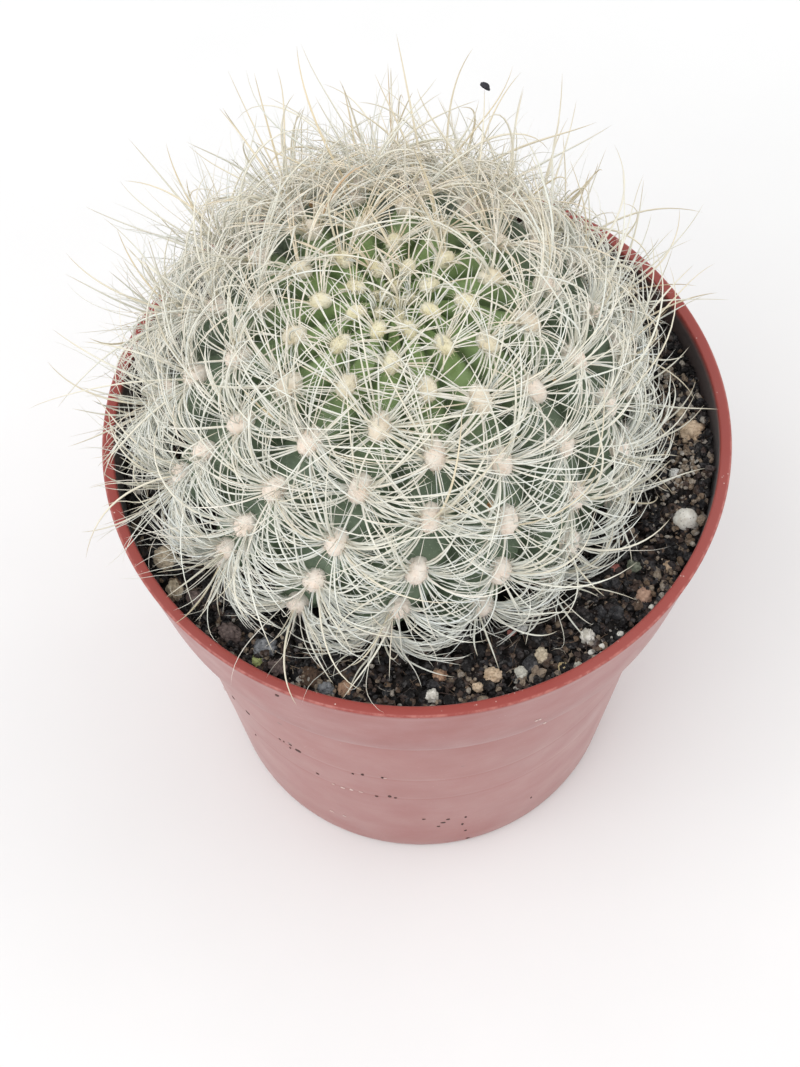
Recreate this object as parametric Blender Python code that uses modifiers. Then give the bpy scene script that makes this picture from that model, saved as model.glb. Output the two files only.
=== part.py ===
"""Potted globe cactus: a spiny ribbed plant in soil with grit, in a round plastic nursery pot.

Metres, +Z up. The origin is the middle of the pot's base, on the surface that the pot stands on.
The front of the plant, as photographed, looks along -Y.
"""
import math
import random

import bmesh
import bpy
import numpy as np
from mathutils import Matrix, Vector, noise

# Pot
POT_HEIGHT = 0.096
RIM_RADIUS = 0.0525
LIP_THICKNESS = 0.0020
LIP_FOOT = 0.0028
LIP_ROUNDING = 0.0004
BAND_HEIGHT = 0.0225
BAND_BOTTOM_RADIUS = 0.0485
BAND_STEP = 0.0024
BASE_RADIUS = 0.0373
BASE_ROUNDING = 0.0012
WALL = 0.0013
FLOOR = 0.0016
POT_SEGMENTS = 60
DRAIN_HOLES = 6
DRAIN_RADIUS = 0.0034
DRAIN_CIRCLE = 0.026

# Soil
FIT_GAP = 0.0003
SOIL_BELOW_RIM = 0.0068
SOIL_LUMP = 0.0008
SOIL_LUMP_SIZE = 0.006
SOIL_SEGMENTS = 48
SOIL_DIP_BY_PLANT = 0.00072
SOIL_DIP_BY_WALL = 0.0004
DIP_RADIUS = 0.038
DIP_WIDTH = 0.004
WALL_DIP_RADIUS = 0.047
WALL_DIP_WIDTH = 0.003
HEAP_X = 0.0465
HEAP_Y = -0.0080
HEAP_WIDTH = 0.0140
HEAP_HEIGHT = 0.0024
SOIL_RINGS = (0.026, 0.031, 0.0355, 0.0395, 0.0430, 0.0462)

# Plant body: an ellipsoid with ribs, most of it above the rim
PLANT_X = -0.0032
PLANT_Y = 0.0010
PLANT_ABOVE_RIM = 0.006
BODY_RADIUS = 0.0364
BODY_RISE = 0.0302
RIBS = 16
COLUMNS_PER_RIB = 4
RIB_DEPTH = 0.0028
TUBERCLE_HEIGHT = 0.0019
NOTCH_SHARE = -0.30
SHOULDER_SHARE = 0.45
CROWN_DIP = 0.0012
CROWN_ROWS = 4
CROWN_TUBERCLE_SHARE = 0.45
TWIST = 0.30
FIRST_RIB = 3.4
TWIST_FROM_LATITUDE = 18.0
TOP_LATITUDE = 80.25
LATITUDE_STEP = 7.75
BODY_ROWS = 14
# Root end: rows of radius and depth below the mean soil level
ROOT_ROWS = ((0.0300, 0.0012), (0.0262, 0.0060), (0.0190, 0.0130), (0.0110, 0.0200), (0.0050, 0.0250))
ROOT_TIP_DEPTH = 0.0275
ROOT_GAP = 0.0005
ROOT_MOUTH = 0.008

# Felt pads and spines
PAD_LENGTH = 0.0032
PAD_WIDTH = 0.0022
PAD_HEIGHT = 0.0011
YOUNG_FROM_LATITUDE = 68
YOUNGEST_FROM_LATITUDE = 76
YOUNG_SHARE = 0.8
YOUNGEST_SHARE = 0.55
SPINE_SINK = 0.0006
SPINE_CLEARANCE = 0.0002
NEARLY_PARALLEL = 1e-18
SPINE_TRIES = 24
FOOT_FROM_PAD = 0.45
SKIN_CLEARANCE = 0.0026
FREE_FROM = 0.25
RADIAL_WIDTH = 0.00036
RADIAL_ANGLES = (-132, -78, 78, 132, 180)
RADIAL_SPREAD = 22
RADIAL_LENGTH = (0.0100, 0.0140)
RADIAL_LIFT = (20, 50)
CENTRAL_WIDTH = 0.00045
CENTRAL_LENGTH = (0.0170, 0.0290)
CENTRAL_LIFT = (46, 70)
CENTRAL_SPREAD = 80
CENTRAL_DROP = 0.06
CENTRAL_FROM_LATITUDE = 8
CENTRAL_SHARE_BELOW = 0.4
MIDDLE_SWELL = 1.6
SPINE_OVER_SOIL = 0.0014
SPINE_OVER_GRIT = 0.0056
SPINE_OVER_RIM = 0.0012
SPINE_FROM_RIM = 0.0032
GRIT_FROM_AXIS = 0.0385

# Grit: name, angle from the front towards +X, distance from the pot's axis, size across, height share
GRIT = (
    ("pumice_right", 91, 0.0466, 0.0046, 0.90),
    ("perlite_right", 70, 0.0468, 0.0044, 0.95),
    ("chip_right", 80, 0.0438, 0.0028, 0.60),
    ("gravel_green", 56, 0.0424, 0.0030, 0.70),
    ("gravel_tan_right", 60, 0.0472, 0.0028, 0.70),
    ("gravel_pink", 51, 0.0464, 0.0034, 0.75),
    ("perlite_front", 36, 0.0450, 0.0034, 0.85),
    ("gravel_tan_front", 25.6, 0.0436, 0.0032, 0.70),
    ("gravel_yellow", 28, 0.0472, 0.0020, 0.70),
    ("gravel_pale", 20.3, 0.0449, 0.0030, 0.75),
    ("gravel_brown_front", 14.2, 0.0442, 0.0036, 0.75),
    ("gravel_orange", 3.2, 0.0424, 0.0028, 0.70),
    ("perlite_left", 1.2, 0.0460, 0.0030, 0.85),
    ("gravel_tan_left", -16.3, 0.0460, 0.0032, 0.70),
    ("bark_left", -24, 0.0458, 0.0040, 0.45),
    ("gravel_grey", -35, 0.0446, 0.0042, 0.65),
    ("gravel_brown_left", -54, 0.0458, 0.0038, 0.75),
    ("pumice_left", -65, 0.0464, 0.0052, 0.80),
    ("gravel_back_1", -104, 0.0460, 0.0038, 0.75),
    ("perlite_back", -138, 0.0455, 0.0036, 0.85),
    ("gravel_back_2", -171, 0.0450, 0.0044, 0.70),
    ("bark_back", 158, 0.0458, 0.0038, 0.45),
    ("gravel_back_3", 124, 0.0458, 0.0036, 0.75),
)
GRIT_SINK = 0.42
GRIT_ROUGHNESS = 0.16
PERLITE_ROUGHNESS = 0.05
BIG_GRIT = 0.0040
DIMPLE_GAP = 0.00045

SEED = 41

SOIL_LEVEL = POT_HEIGHT - SOIL_BELOW_RIM
PLANT_CENTRE = Vector((PLANT_X, PLANT_Y, POT_HEIGHT + PLANT_ABOVE_RIM))


def clear_scene():
    for thing in list(bpy.data.objects):
        bpy.data.objects.remove(thing, do_unlink=True)


def new_collection(name):
    collection = bpy.data.collections.new(name)
    bpy.context.scene.collection.children.link(collection)
    return collection


def new_material(name, colour, roughness):
    material = bpy.data.materials.new(name)
    material.use_nodes = True
    shader = material.node_tree.nodes["Principled BSDF"]
    shader.inputs["Base Color"].default_value = (*colour, 1.0)
    shader.inputs["Roughness"].default_value = roughness
    shader.inputs["Metallic"].default_value = 0.0
    material.diffuse_color = (*colour, 1.0)
    return material


def new_object(name, bm, collection, materials=()):
    mesh = bpy.data.meshes.new(name)
    bm.to_mesh(mesh)
    bm.free()
    for material in materials:
        mesh.materials.append(material)
    thing = bpy.data.objects.new(name, mesh)
    collection.objects.link(thing)
    return thing


def hide_cutter(thing):
    thing.hide_render = True
    thing.display_type = "WIRE"


def apply_modifiers(thing):
    """Replace the object's mesh by what its modifiers make of it."""
    depsgraph = bpy.context.evaluated_depsgraph_get()
    mesh = bpy.data.meshes.new_from_object(thing.evaluated_get(depsgraph))
    thing.modifiers.clear()
    thing.data = mesh


def cut(thing, cutter):
    boolean = thing.modifiers.new("cut by " + cutter.name, "BOOLEAN")
    boolean.operation = "DIFFERENCE"
    boolean.object = cutter


def turned(name, profile, segments, collection, materials=(), place=(0.0, 0.0)):
    """Turn a profile of (radius, height) about the Z axis; both ends lie on the axis."""
    bm = bmesh.new()
    points = [bm.verts.new((radius, 0.0, height)) for radius, height in profile]
    for first, second in zip(points, points[1:]):
        bm.edges.new((first, second))
    thing = new_object(name, bm, collection, materials)
    thing.location = (*place, 0.0)
    screw = thing.modifiers.new("turn", "SCREW")
    screw.axis = "Z"
    screw.steps = segments
    screw.render_steps = segments
    screw.use_merge_vertices = True
    screw.merge_threshold = 0.00005
    return thing


def smooth_shading(thing, angle=35):
    thing.data.shade_smooth()
    thing.data.set_sharp_from_angle(angle=math.radians(angle))


def pot_wall_radius(height, inset):
    """Radius of the pot's outer face at a height, less an inset."""
    band_foot = POT_HEIGHT - BAND_HEIGHT
    if height >= band_foot:
        share = (height - band_foot) / BAND_HEIGHT
        return BAND_BOTTOM_RADIUS + share * (RIM_RADIUS - BAND_BOTTOM_RADIUS) - inset
    body_top = BAND_BOTTOM_RADIUS - BAND_STEP
    share = height / band_foot
    return BASE_RADIUS + share * (body_top - BASE_RADIUS) - inset


def build_pot(collection, cutters, material):
    band_foot = POT_HEIGHT - BAND_HEIGHT
    body_top = BAND_BOTTOM_RADIUS - BAND_STEP
    inner = [
        (0.0, FLOOR),
        (pot_wall_radius(FLOOR, WALL), FLOOR),
        (body_top - WALL, band_foot),
        (pot_wall_radius(SOIL_LEVEL - FLOOR, WALL), SOIL_LEVEL - FLOOR),
        (pot_wall_radius(POT_HEIGHT - LIP_FOOT, WALL), POT_HEIGHT - LIP_FOOT),
        (RIM_RADIUS - LIP_THICKNESS, POT_HEIGHT - LIP_ROUNDING),
        (RIM_RADIUS - LIP_THICKNESS + LIP_ROUNDING, POT_HEIGHT),
    ]
    outer = [
        (RIM_RADIUS - LIP_ROUNDING, POT_HEIGHT),
        (RIM_RADIUS, POT_HEIGHT - LIP_ROUNDING),
        (BAND_BOTTOM_RADIUS, band_foot + LIP_ROUNDING),
        (BAND_BOTTOM_RADIUS - LIP_ROUNDING, band_foot),
        (body_top, band_foot - LIP_ROUNDING),
        (pot_wall_radius(BASE_ROUNDING, 0.0), BASE_ROUNDING),
        (BASE_RADIUS - BASE_ROUNDING, 0.0),
        (0.0, 0.0),
    ]
    pot = turned("pot", inner + outer, POT_SEGMENTS, collection, [material])
    for index in range(DRAIN_HOLES):
        turn = 2 * math.pi * index / DRAIN_HOLES
        bm = bmesh.new()
        bmesh.ops.create_cone(
            bm, cap_ends=True, segments=12, radius1=DRAIN_RADIUS, radius2=DRAIN_RADIUS, depth=4 * FLOOR
        )
        cutter = new_object(f"drain_cutter_{index + 1}", bm, cutters)
        cutter.location = (DRAIN_CIRCLE * math.cos(turn), DRAIN_CIRCLE * math.sin(turn), FLOOR / 2)
        hide_cutter(cutter)
        cut(pot, cutter)
    bpy.context.view_layer.update()
    apply_modifiers(pot)
    smooth_shading(pot)
    return pot


def soil_lumps(x, y):
    """Height of the soil's surface above its mean level: it dips by the plant, and is heaped at the right."""
    coarse = noise.noise(Vector((x, y, 0.0)) / SOIL_LUMP_SIZE)
    fine = noise.noise(Vector((x, y, SOIL_LUMP_SIZE)) / (0.5 * SOIL_LUMP_SIZE))
    from_plant = math.hypot(x - PLANT_X, y - PLANT_Y)
    near_plant = min(1.0, max(0.0, (DIP_RADIUS - from_plant) / DIP_WIDTH))
    near_wall = min(1.0, max(0.0, (math.hypot(x, y) - WALL_DIP_RADIUS) / WALL_DIP_WIDTH))
    from_heap = math.hypot(x - HEAP_X, y - HEAP_Y)
    heap = HEAP_HEIGHT * max(0.0, 1 - (from_heap / HEAP_WIDTH) ** 2) ** 2
    lump = (SOIL_LUMP * (coarse + 0.5 * fine) + heap) * (1 - near_plant)
    return lump - SOIL_DIP_BY_PLANT * near_plant - SOIL_DIP_BY_WALL * near_wall


def build_soil(collection, cutters, material):
    edge = pot_wall_radius(SOIL_LEVEL, WALL + FIT_GAP)
    band_foot = POT_HEIGHT - BAND_HEIGHT
    body_top = BAND_BOTTOM_RADIUS - BAND_STEP
    bottom = FLOOR + FIT_GAP
    profile = [(0.0, SOIL_LEVEL)]
    profile += [(radius, SOIL_LEVEL) for radius in SOIL_RINGS]
    profile += [
        (edge, SOIL_LEVEL),
        (body_top - WALL - 2 * FIT_GAP, band_foot),
        (pot_wall_radius(bottom, WALL + 2 * FIT_GAP), bottom),
        (0.0, bottom),
    ]
    soil = turned("soil", profile, SOIL_SEGMENTS, collection, [material])
    bpy.context.view_layer.update()
    apply_modifiers(soil)
    for vertex in soil.data.vertices:
        if abs(vertex.co.z - SOIL_LEVEL) < FIT_GAP:
            vertex.co.z += soil_lumps(vertex.co.x, vertex.co.y)
    cut(soil, build_root_hole(cutters))
    return soil


def build_root_hole(cutters):
    """A plain turned hole, a little wider than the root end all round."""
    mouth_radius = ROOT_ROWS[0][0] + 2 * ROOT_GAP
    profile = [(0.0, SOIL_LEVEL + ROOT_MOUTH), (mouth_radius + ROOT_MOUTH, SOIL_LEVEL + ROOT_MOUTH)]
    profile += [(mouth_radius, SOIL_LEVEL - ROOT_ROWS[0][1])]
    profile += [(radius + ROOT_GAP, SOIL_LEVEL - depth - ROOT_GAP) for radius, depth in ROOT_ROWS[1:]]
    profile += [(0.0, SOIL_LEVEL - ROOT_TIP_DEPTH - ROOT_GAP)]
    segments = RIBS * COLUMNS_PER_RIB
    cutter = turned("root_hole_cutter", profile, segments, cutters, place=(PLANT_X, PLANT_Y))
    hide_cutter(cutter)
    return cutter


def row_latitude(row):
    return TOP_LATITUDE - LATITUDE_STEP * (row - 1)


def rib_longitude(rib, latitude):
    """Degrees from the front towards +X; the ribs lean a little as they rise."""
    return FIRST_RIB + 360.0 / RIBS * rib + TWIST * (latitude - TWIST_FROM_LATITUDE)


def ellipsoid(longitude, latitude, out=0.0):
    """A point over the body's ellipsoid, and the outward direction there."""
    lon = math.radians(longitude)
    lat = math.radians(latitude)
    level = Vector((math.sin(lon), -math.cos(lon), 0.0))
    up = Vector((0.0, 0.0, 1.0))
    normal = (level * math.cos(lat) / BODY_RADIUS + up * math.sin(lat) / BODY_RISE).normalized()
    point = level * BODY_RADIUS * math.cos(lat) + up * BODY_RISE * math.sin(lat)
    return PLANT_CENTRE + point + normal * out, normal


def young_share(row):
    """Tubercles are smaller in the few rows round the crown."""
    return CROWN_TUBERCLE_SHARE + (1 - CROWN_TUBERCLE_SHARE) * min(1.0, row / CROWN_ROWS)


def relief(column, row):
    """How far the skin stands out: deep between ribs, swollen at each areole."""
    rib, place = divmod(column, COLUMNS_PER_RIB)
    if place == 0:
        return -RIB_DEPTH * min(1.0, row / CROWN_ROWS)
    swell = TUBERCLE_HEIGHT * young_share(row)
    if (row + rib) % 2 == 0:
        swell *= NOTCH_SHARE
    return swell if place == COLUMNS_PER_RIB // 2 else swell * SHOULDER_SHARE


def column_longitude(column, row):
    rib = column / COLUMNS_PER_RIB - 0.5
    return rib_longitude(rib, row_latitude(min(row, BODY_ROWS)))


def skin_point(column, row):
    return ellipsoid(column_longitude(column, row), row_latitude(row), relief(column, row))[0]


def root_point(column, row):
    radius, depth = ROOT_ROWS[row - BODY_ROWS - 1]
    lon = math.radians(column_longitude(column, row))
    return Vector((PLANT_X + radius * math.sin(lon), PLANT_Y - radius * math.cos(lon), SOIL_LEVEL - depth))


def build_body(collection, materials):
    """A sphere's rows and columns, moved on to the ribbed body and its root end."""
    columns = RIBS * COLUMNS_PER_RIB
    rows = BODY_ROWS + len(ROOT_ROWS)
    bm = bmesh.new()
    bmesh.ops.create_uvsphere(bm, u_segments=columns, v_segments=rows + 1, radius=1.0)
    for vertex in bm.verts:
        place = vertex.co.copy()
        row = round((rows + 1) * math.acos(max(-1.0, min(1.0, place.z))) / math.pi)
        column = round(columns * math.atan2(place.x, -place.y) / (2 * math.pi)) % columns
        if row == 0:
            vertex.co = PLANT_CENTRE + Vector((0.0, 0.0, BODY_RISE - CROWN_DIP))
        elif row <= BODY_ROWS:
            vertex.co = skin_point(column, row)
        elif row <= rows:
            vertex.co = root_point(column, row)
        else:
            vertex.co = (PLANT_X, PLANT_Y, SOIL_LEVEL - ROOT_TIP_DEPTH)
    bmesh.ops.triangulate(bm, faces=bm.faces)
    return new_object("cactus", bm, collection, materials)


def areoles():
    """Latitude, place, and outward, upward and sideward directions of each felt pad."""
    found = []
    for row in range(1, BODY_ROWS):
        for rib in range(RIBS):
            if (row + rib) % 2 == 0:
                continue
            latitude = row_latitude(row)
            longitude = rib_longitude(rib, latitude)
            place, normal = ellipsoid(longitude, latitude, TUBERCLE_HEIGHT * young_share(row))
            higher = ellipsoid(longitude + 2 * TWIST, latitude + 2.0)[0]
            lower = ellipsoid(longitude, latitude)[0]
            upward = (higher - lower).normalized()
            upward = (upward - normal * upward.dot(normal)).normalized()
            found.append((latitude, place, normal, upward, upward.cross(normal).normalized()))
    return found


def growth(latitude):
    """Pads and spines are shorter on the young tubercles round the crown."""
    if latitude > YOUNGEST_FROM_LATITUDE:
        return YOUNGEST_SHARE
    return YOUNG_SHARE if latitude > YOUNG_FROM_LATITUDE else 1.0


def build_pad(index, areole, collection, materials):
    """A small eight-sided pillow of felt, longer up and down the rib."""
    latitude, place, normal, upward, sideward = areole
    young = growth(latitude)
    bm = bmesh.new()
    bmesh.ops.create_uvsphere(bm, u_segments=4, v_segments=2, radius=1.0)
    turn = Matrix((sideward, upward, normal)).transposed().to_4x4()
    size = Matrix.Diagonal((young * PAD_WIDTH / 2, young * PAD_LENGTH / 2, PAD_HEIGHT, 1.0))
    bmesh.ops.transform(bm, matrix=Matrix.Translation(place) @ turn @ size, verts=bm.verts)
    for face in bm.faces:
        face.material_index = 1
    return new_object(f"pad_{index}", bm, collection, materials)


def lowest_allowed(point):
    """Spines hang clear of the soil, of the grit near the wall and of the pot's rim."""
    from_axis = math.hypot(point.x, point.y)
    if from_axis > RIM_RADIUS - SPINE_FROM_RIM:
        return POT_HEIGHT + SPINE_OVER_RIM
    if from_axis > GRIT_FROM_AXIS:
        return SOIL_LEVEL + SPINE_OVER_GRIT
    return SOIL_LEVEL + SPINE_OVER_SOIL


def build_spine(name, path, width, collection, materials):
    """A three-sided cone with its root sunk in; one with three points is bent at the middle one."""
    root, tip = path[0], path[-1]
    turn = (tip - root).to_track_quat("Z", "Y")
    bm = bmesh.new()
    bmesh.ops.create_cone(bm, cap_ends=True, segments=3, radius1=1.0, radius2=0.0, depth=2.0)
    bmesh.ops.remove_doubles(bm, verts=bm.verts, dist=0.0001)
    if len(path) == 3:
        bmesh.ops.bisect_plane(
            bm, geom=bm.verts[:] + bm.edges[:] + bm.faces[:], plane_co=(0, 0, 0), plane_no=(0, 0, 1)
        )
    for vertex in bm.verts:
        centre = path[1] if abs(vertex.co.z) < 0.5 else tip if vertex.co.z > 0 else root
        swell = MIDDLE_SWELL if abs(vertex.co.z) < 0.5 else 1.0
        across = Vector((vertex.co.x, vertex.co.y, 0.0))
        vertex.co = centre + turn @ (across * swell * width / 2)
    for face in bm.faces:
        face.material_index = 2
    return new_object(name, bm, collection, materials)


def radial_path(areole, angle, length, lift):
    """A straight spine that leaves the skin beside the pad, at an angle from the rib's upward line."""
    latitude, place, normal, upward, sideward = areole
    turn = math.radians(angle)
    rise = math.radians(lift)
    beside = upward * math.cos(turn) * PAD_LENGTH + sideward * math.sin(turn) * PAD_WIDTH
    along = upward * math.cos(turn) + sideward * math.sin(turn)
    start = along * math.cos(rise) + normal * math.sin(rise)
    foot = place + FOOT_FROM_PAD * beside
    root = foot - start * SPINE_SINK - normal * SPINE_SINK
    tip = foot + start * length
    tip.z = max(tip.z, lowest_allowed(tip))
    return root, tip


def central_path(areole, angle, length, lift):
    """A longer spine that leaves the pad's middle and bends down a little."""
    latitude, place, normal, upward, sideward = areole
    turn = math.radians(angle)
    rise = math.radians(lift)
    along = upward * math.cos(turn) + sideward * math.sin(turn)
    start = along * math.cos(rise) + normal * math.sin(rise)
    root = place - normal * SPINE_SINK
    middle = place + start * 0.5 * length
    tip = place + start * 0.98 * length - normal * CENTRAL_DROP * length
    for point in (middle, tip):
        point.z = max(point.z, lowest_allowed(point))
    return root, middle, tip


def gap_to_segments(start, end, starts, ends):
    """Smallest distance from one straight segment to any of many others."""
    first = end - start
    others = ends - starts
    between = start - starts
    aa = first @ first
    bb = np.einsum("ij,ij->i", others, others)
    ab = others @ first
    fa = between @ first
    fb = np.einsum("ij,ij->i", others, between)
    spread = np.maximum(aa * bb - ab * ab, NEARLY_PARALLEL)
    along = np.clip((ab * fb - bb * fa) / spread, 0.0, 1.0)
    across = np.clip((ab * along + fb) / bb, 0.0, 1.0)
    along = np.clip((ab * across - fa) / aa, 0.0, 1.0)
    apart = between + np.outer(along, first) - others * across[:, None]
    return float(np.sqrt(np.einsum("ij,ij->i", apart, apart).min()))


def is_clear(path, width, placed):
    """True where a spine touches neither the skin away from its root nor an earlier spine."""
    for start, end in zip(path, path[1:]):
        for point in (start.lerp(end, 0.5), end):
            away = point - PLANT_CENTRE
            share = Vector((away.x / BODY_RADIUS, away.y / BODY_RADIUS, away.z / BODY_RISE))
            if share.length < 1.0 + SKIN_CLEARANCE / BODY_RADIUS:
                return False
    if not placed:
        return True
    starts = np.array([segment[0] for segment in placed])
    ends = np.array([segment[1] for segment in placed])
    for start, end in free_segments(path):
        if gap_to_segments(np.array(start), np.array(end), starts, ends) < width + SPINE_CLEARANCE:
            return False
    return True


def free_segments(path):
    """The straight stretches of a spine, without its sunken root."""
    points = [path[0].lerp(path[1], FREE_FROM), *path[1:]]
    return list(zip(points, points[1:]))


def place_spine(make_path, areole, draw, angle, spread, lengths, lifts, width, placed):
    """Try a few seeded directions; the first clear one is kept, or none."""
    for _ in range(SPINE_TRIES):
        turn = angle + draw.uniform(-spread, spread)
        path = make_path(areole, turn, draw.uniform(*lengths), draw.uniform(*lifts))
        if is_clear(path, width, placed):
            placed.extend(free_segments(path))
            return path
    return None


def add_spines(collection, materials):
    draw = random.Random(SEED)
    placed = []
    found = []
    for number, areole in enumerate(areoles()):
        latitude = areole[0]
        build_pad(number, areole, collection, materials)
        young = growth(latitude)
        if latitude > CENTRAL_FROM_LATITUDE or draw.random() < CENTRAL_SHARE_BELOW:
            width = CENTRAL_WIDTH
            lengths = [young * length for length in CENTRAL_LENGTH]
            path = place_spine(
                central_path, areole, draw, 0, CENTRAL_SPREAD, lengths, CENTRAL_LIFT, width, placed
            )
            found.append((path, width))
        width = RADIAL_WIDTH
        lengths = [young * length for length in RADIAL_LENGTH]
        for angle in RADIAL_ANGLES:
            path = place_spine(
                radial_path, areole, draw, angle, RADIAL_SPREAD, lengths, RADIAL_LIFT, width, placed
            )
            found.append((path, width))
    for number, (path, width) in enumerate(found):
        if path is not None:
            build_spine(f"spine_{number}", path, width, collection, materials)


def build_cactus(collection, repeats, materials):
    cactus = build_body(collection, materials)
    add_spines(repeats, materials)
    union = cactus.modifiers.new("join pads and spines", "BOOLEAN")
    union.operation = "UNION"
    union.operand_type = "COLLECTION"
    union.collection = repeats
    bpy.context.view_layer.update()
    apply_modifiers(cactus)
    for thing in list(repeats.objects):
        bpy.data.objects.remove(thing, do_unlink=True)
    bpy.data.collections.remove(repeats)
    return cactus


def build_grit(collection, cutters, soil, materials):
    """Loose stones that lie part sunk in the soil, each in its own dimple."""
    draw = random.Random(SEED + 1)
    for name, angle, from_axis, size, height in GRIT:
        lon = math.radians(angle)
        x = from_axis * math.sin(lon)
        y = -from_axis * math.cos(lon)
        half = size / 2
        low = half * height
        place = Vector((x, y, SOIL_LEVEL + soil_lumps(x, y) + low * (1 - 2 * GRIT_SINK)))
        turn = Matrix.Rotation(draw.uniform(0, 2 * math.pi), 4, "Z")
        turn = turn @ Matrix.Rotation(draw.uniform(-0.3, 0.3), 4, "X")
        stretch = Matrix.Diagonal((half * draw.uniform(0.82, 1.0), half, low, 1.0))
        bm = bmesh.new()
        sides = 2 if size >= BIG_GRIT else 1
        bmesh.ops.create_icosphere(bm, subdivisions=sides, radius=1.0)
        rough = PERLITE_ROUGHNESS if name.startswith("perlite") else GRIT_ROUGHNESS
        for vertex in bm.verts:
            vertex.co *= 1.0 + rough * draw.uniform(-1.0, 0.6)
        bmesh.ops.transform(bm, matrix=Matrix.Translation(place) @ turn @ stretch, verts=bm.verts)
        bm.normal_update()
        dimple = bm.copy()
        for vertex in dimple.verts:
            vertex.co += vertex.normal * DIMPLE_GAP
        new_object(name, bm, collection, [materials[name.split("_")[0]]])
        cutter = new_object(name + "_dimple_cutter", dimple, cutters)
        hide_cutter(cutter)
        cut(soil, cutter)


def build():
    clear_scene()
    parts = new_collection("potted_cactus")
    cutters = new_collection("cutters")
    repeats = new_collection("pads_and_spines")
    plastic = new_material("brick_red_plastic", (0.42, 0.13, 0.11), 0.42)
    earth = new_material("dark_peat_soil", (0.020, 0.013, 0.010), 0.95)
    plant = [
        new_material("green_skin", (0.10, 0.16, 0.075), 0.55),
        new_material("cream_felt", (0.80, 0.66, 0.54), 0.90),
        new_material("ivory_spine", (0.86, 0.82, 0.68), 0.45),
    ]
    stones = {
        "pumice": new_material("tan_pumice", (0.66, 0.47, 0.34), 0.90),
        "perlite": new_material("white_perlite", (0.86, 0.85, 0.82), 0.85),
        "gravel": new_material("tan_gravel", (0.58, 0.43, 0.30), 0.80),
        "chip": new_material("pale_chip", (0.72, 0.72, 0.70), 0.80),
        "bark": new_material("dark_bark", (0.16, 0.085, 0.05), 0.90),
    }
    build_pot(parts, cutters, plastic)
    soil = build_soil(parts, cutters, earth)
    build_cactus(parts, repeats, plant)
    build_grit(parts, cutters, soil, stones)
    bpy.context.view_layer.update()


build()
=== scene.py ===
"""The looks of a potted globe cactus: skin, felt, spines, soil, grit and a worn plastic pot.

Metres, +Z up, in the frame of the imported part. The photographed side looks along -Y.
"""
import math

import bmesh
import bpy
import numpy as np
from mathutils import Matrix, Vector, noise


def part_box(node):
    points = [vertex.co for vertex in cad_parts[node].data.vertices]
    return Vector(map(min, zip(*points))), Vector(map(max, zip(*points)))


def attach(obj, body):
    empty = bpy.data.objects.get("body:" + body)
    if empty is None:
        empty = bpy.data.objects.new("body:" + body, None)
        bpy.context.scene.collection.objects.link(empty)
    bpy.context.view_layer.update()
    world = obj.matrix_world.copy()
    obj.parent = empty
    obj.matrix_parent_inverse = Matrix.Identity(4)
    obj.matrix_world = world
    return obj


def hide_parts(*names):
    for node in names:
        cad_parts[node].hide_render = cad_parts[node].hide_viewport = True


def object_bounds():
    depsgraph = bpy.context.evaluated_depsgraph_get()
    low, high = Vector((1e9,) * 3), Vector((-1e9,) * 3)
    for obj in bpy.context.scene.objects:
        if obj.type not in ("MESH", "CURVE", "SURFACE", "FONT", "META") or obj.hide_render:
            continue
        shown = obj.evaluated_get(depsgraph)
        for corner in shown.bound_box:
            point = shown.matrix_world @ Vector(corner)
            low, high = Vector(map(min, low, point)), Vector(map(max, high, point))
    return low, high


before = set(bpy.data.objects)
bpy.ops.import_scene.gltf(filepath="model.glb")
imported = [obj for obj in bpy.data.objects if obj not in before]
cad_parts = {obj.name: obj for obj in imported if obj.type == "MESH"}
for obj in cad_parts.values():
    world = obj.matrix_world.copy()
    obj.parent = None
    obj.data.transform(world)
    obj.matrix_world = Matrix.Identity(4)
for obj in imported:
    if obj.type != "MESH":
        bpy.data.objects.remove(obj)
CAD_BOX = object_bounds()

# Sizes read from the frame
POT_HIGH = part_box("pot")[1]
RIM_HEIGHT = POT_HIGH.z
RIM_RADIUS = POT_HIGH.x

# Pot, as in the part; the step under the band is a little deeper, as photographed
LIP_THICKNESS = 0.0020
LIP_DEPTH = 0.0016
LIP_FOOT = 0.0028
LIP_ROUNDING = 0.0004
BAND_HEIGHT = 0.0225
BAND_BOTTOM_RADIUS = 0.0487
BAND_STEP = 0.0032
BASE_RADIUS = 0.0373
BASE_ROUNDING = 0.0012
INNER_ROUNDING = 0.0010
WALL = 0.0013
FLOOR = 0.0016
DRAIN_HOLES = 6
DRAIN_RADIUS = 0.0034
DRAIN_CIRCLE = 0.026
BAND_FOOT = RIM_HEIGHT - BAND_HEIGHT
BODY_TOP_RADIUS = BAND_BOTTOM_RADIUS - BAND_STEP

# Soil, as in the part
SOIL_LEVEL = RIM_HEIGHT - 0.0068
SOIL_LUMP = 0.0008
SOIL_LUMP_SIZE = 0.006
SOIL_DIP_BY_PLANT = 0.00072
SOIL_DIP_BY_WALL = 0.0004
DIP_RADIUS = 0.038
DIP_WIDTH = 0.004
WALL_DIP_RADIUS = 0.047
WALL_DIP_WIDTH = 0.003
HEAP = np.array((0.0465, -0.0080))
HEAP_WIDTH = 0.0140
HEAP_HEIGHT = 0.0024
FIT_GAP = 0.0003

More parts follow.
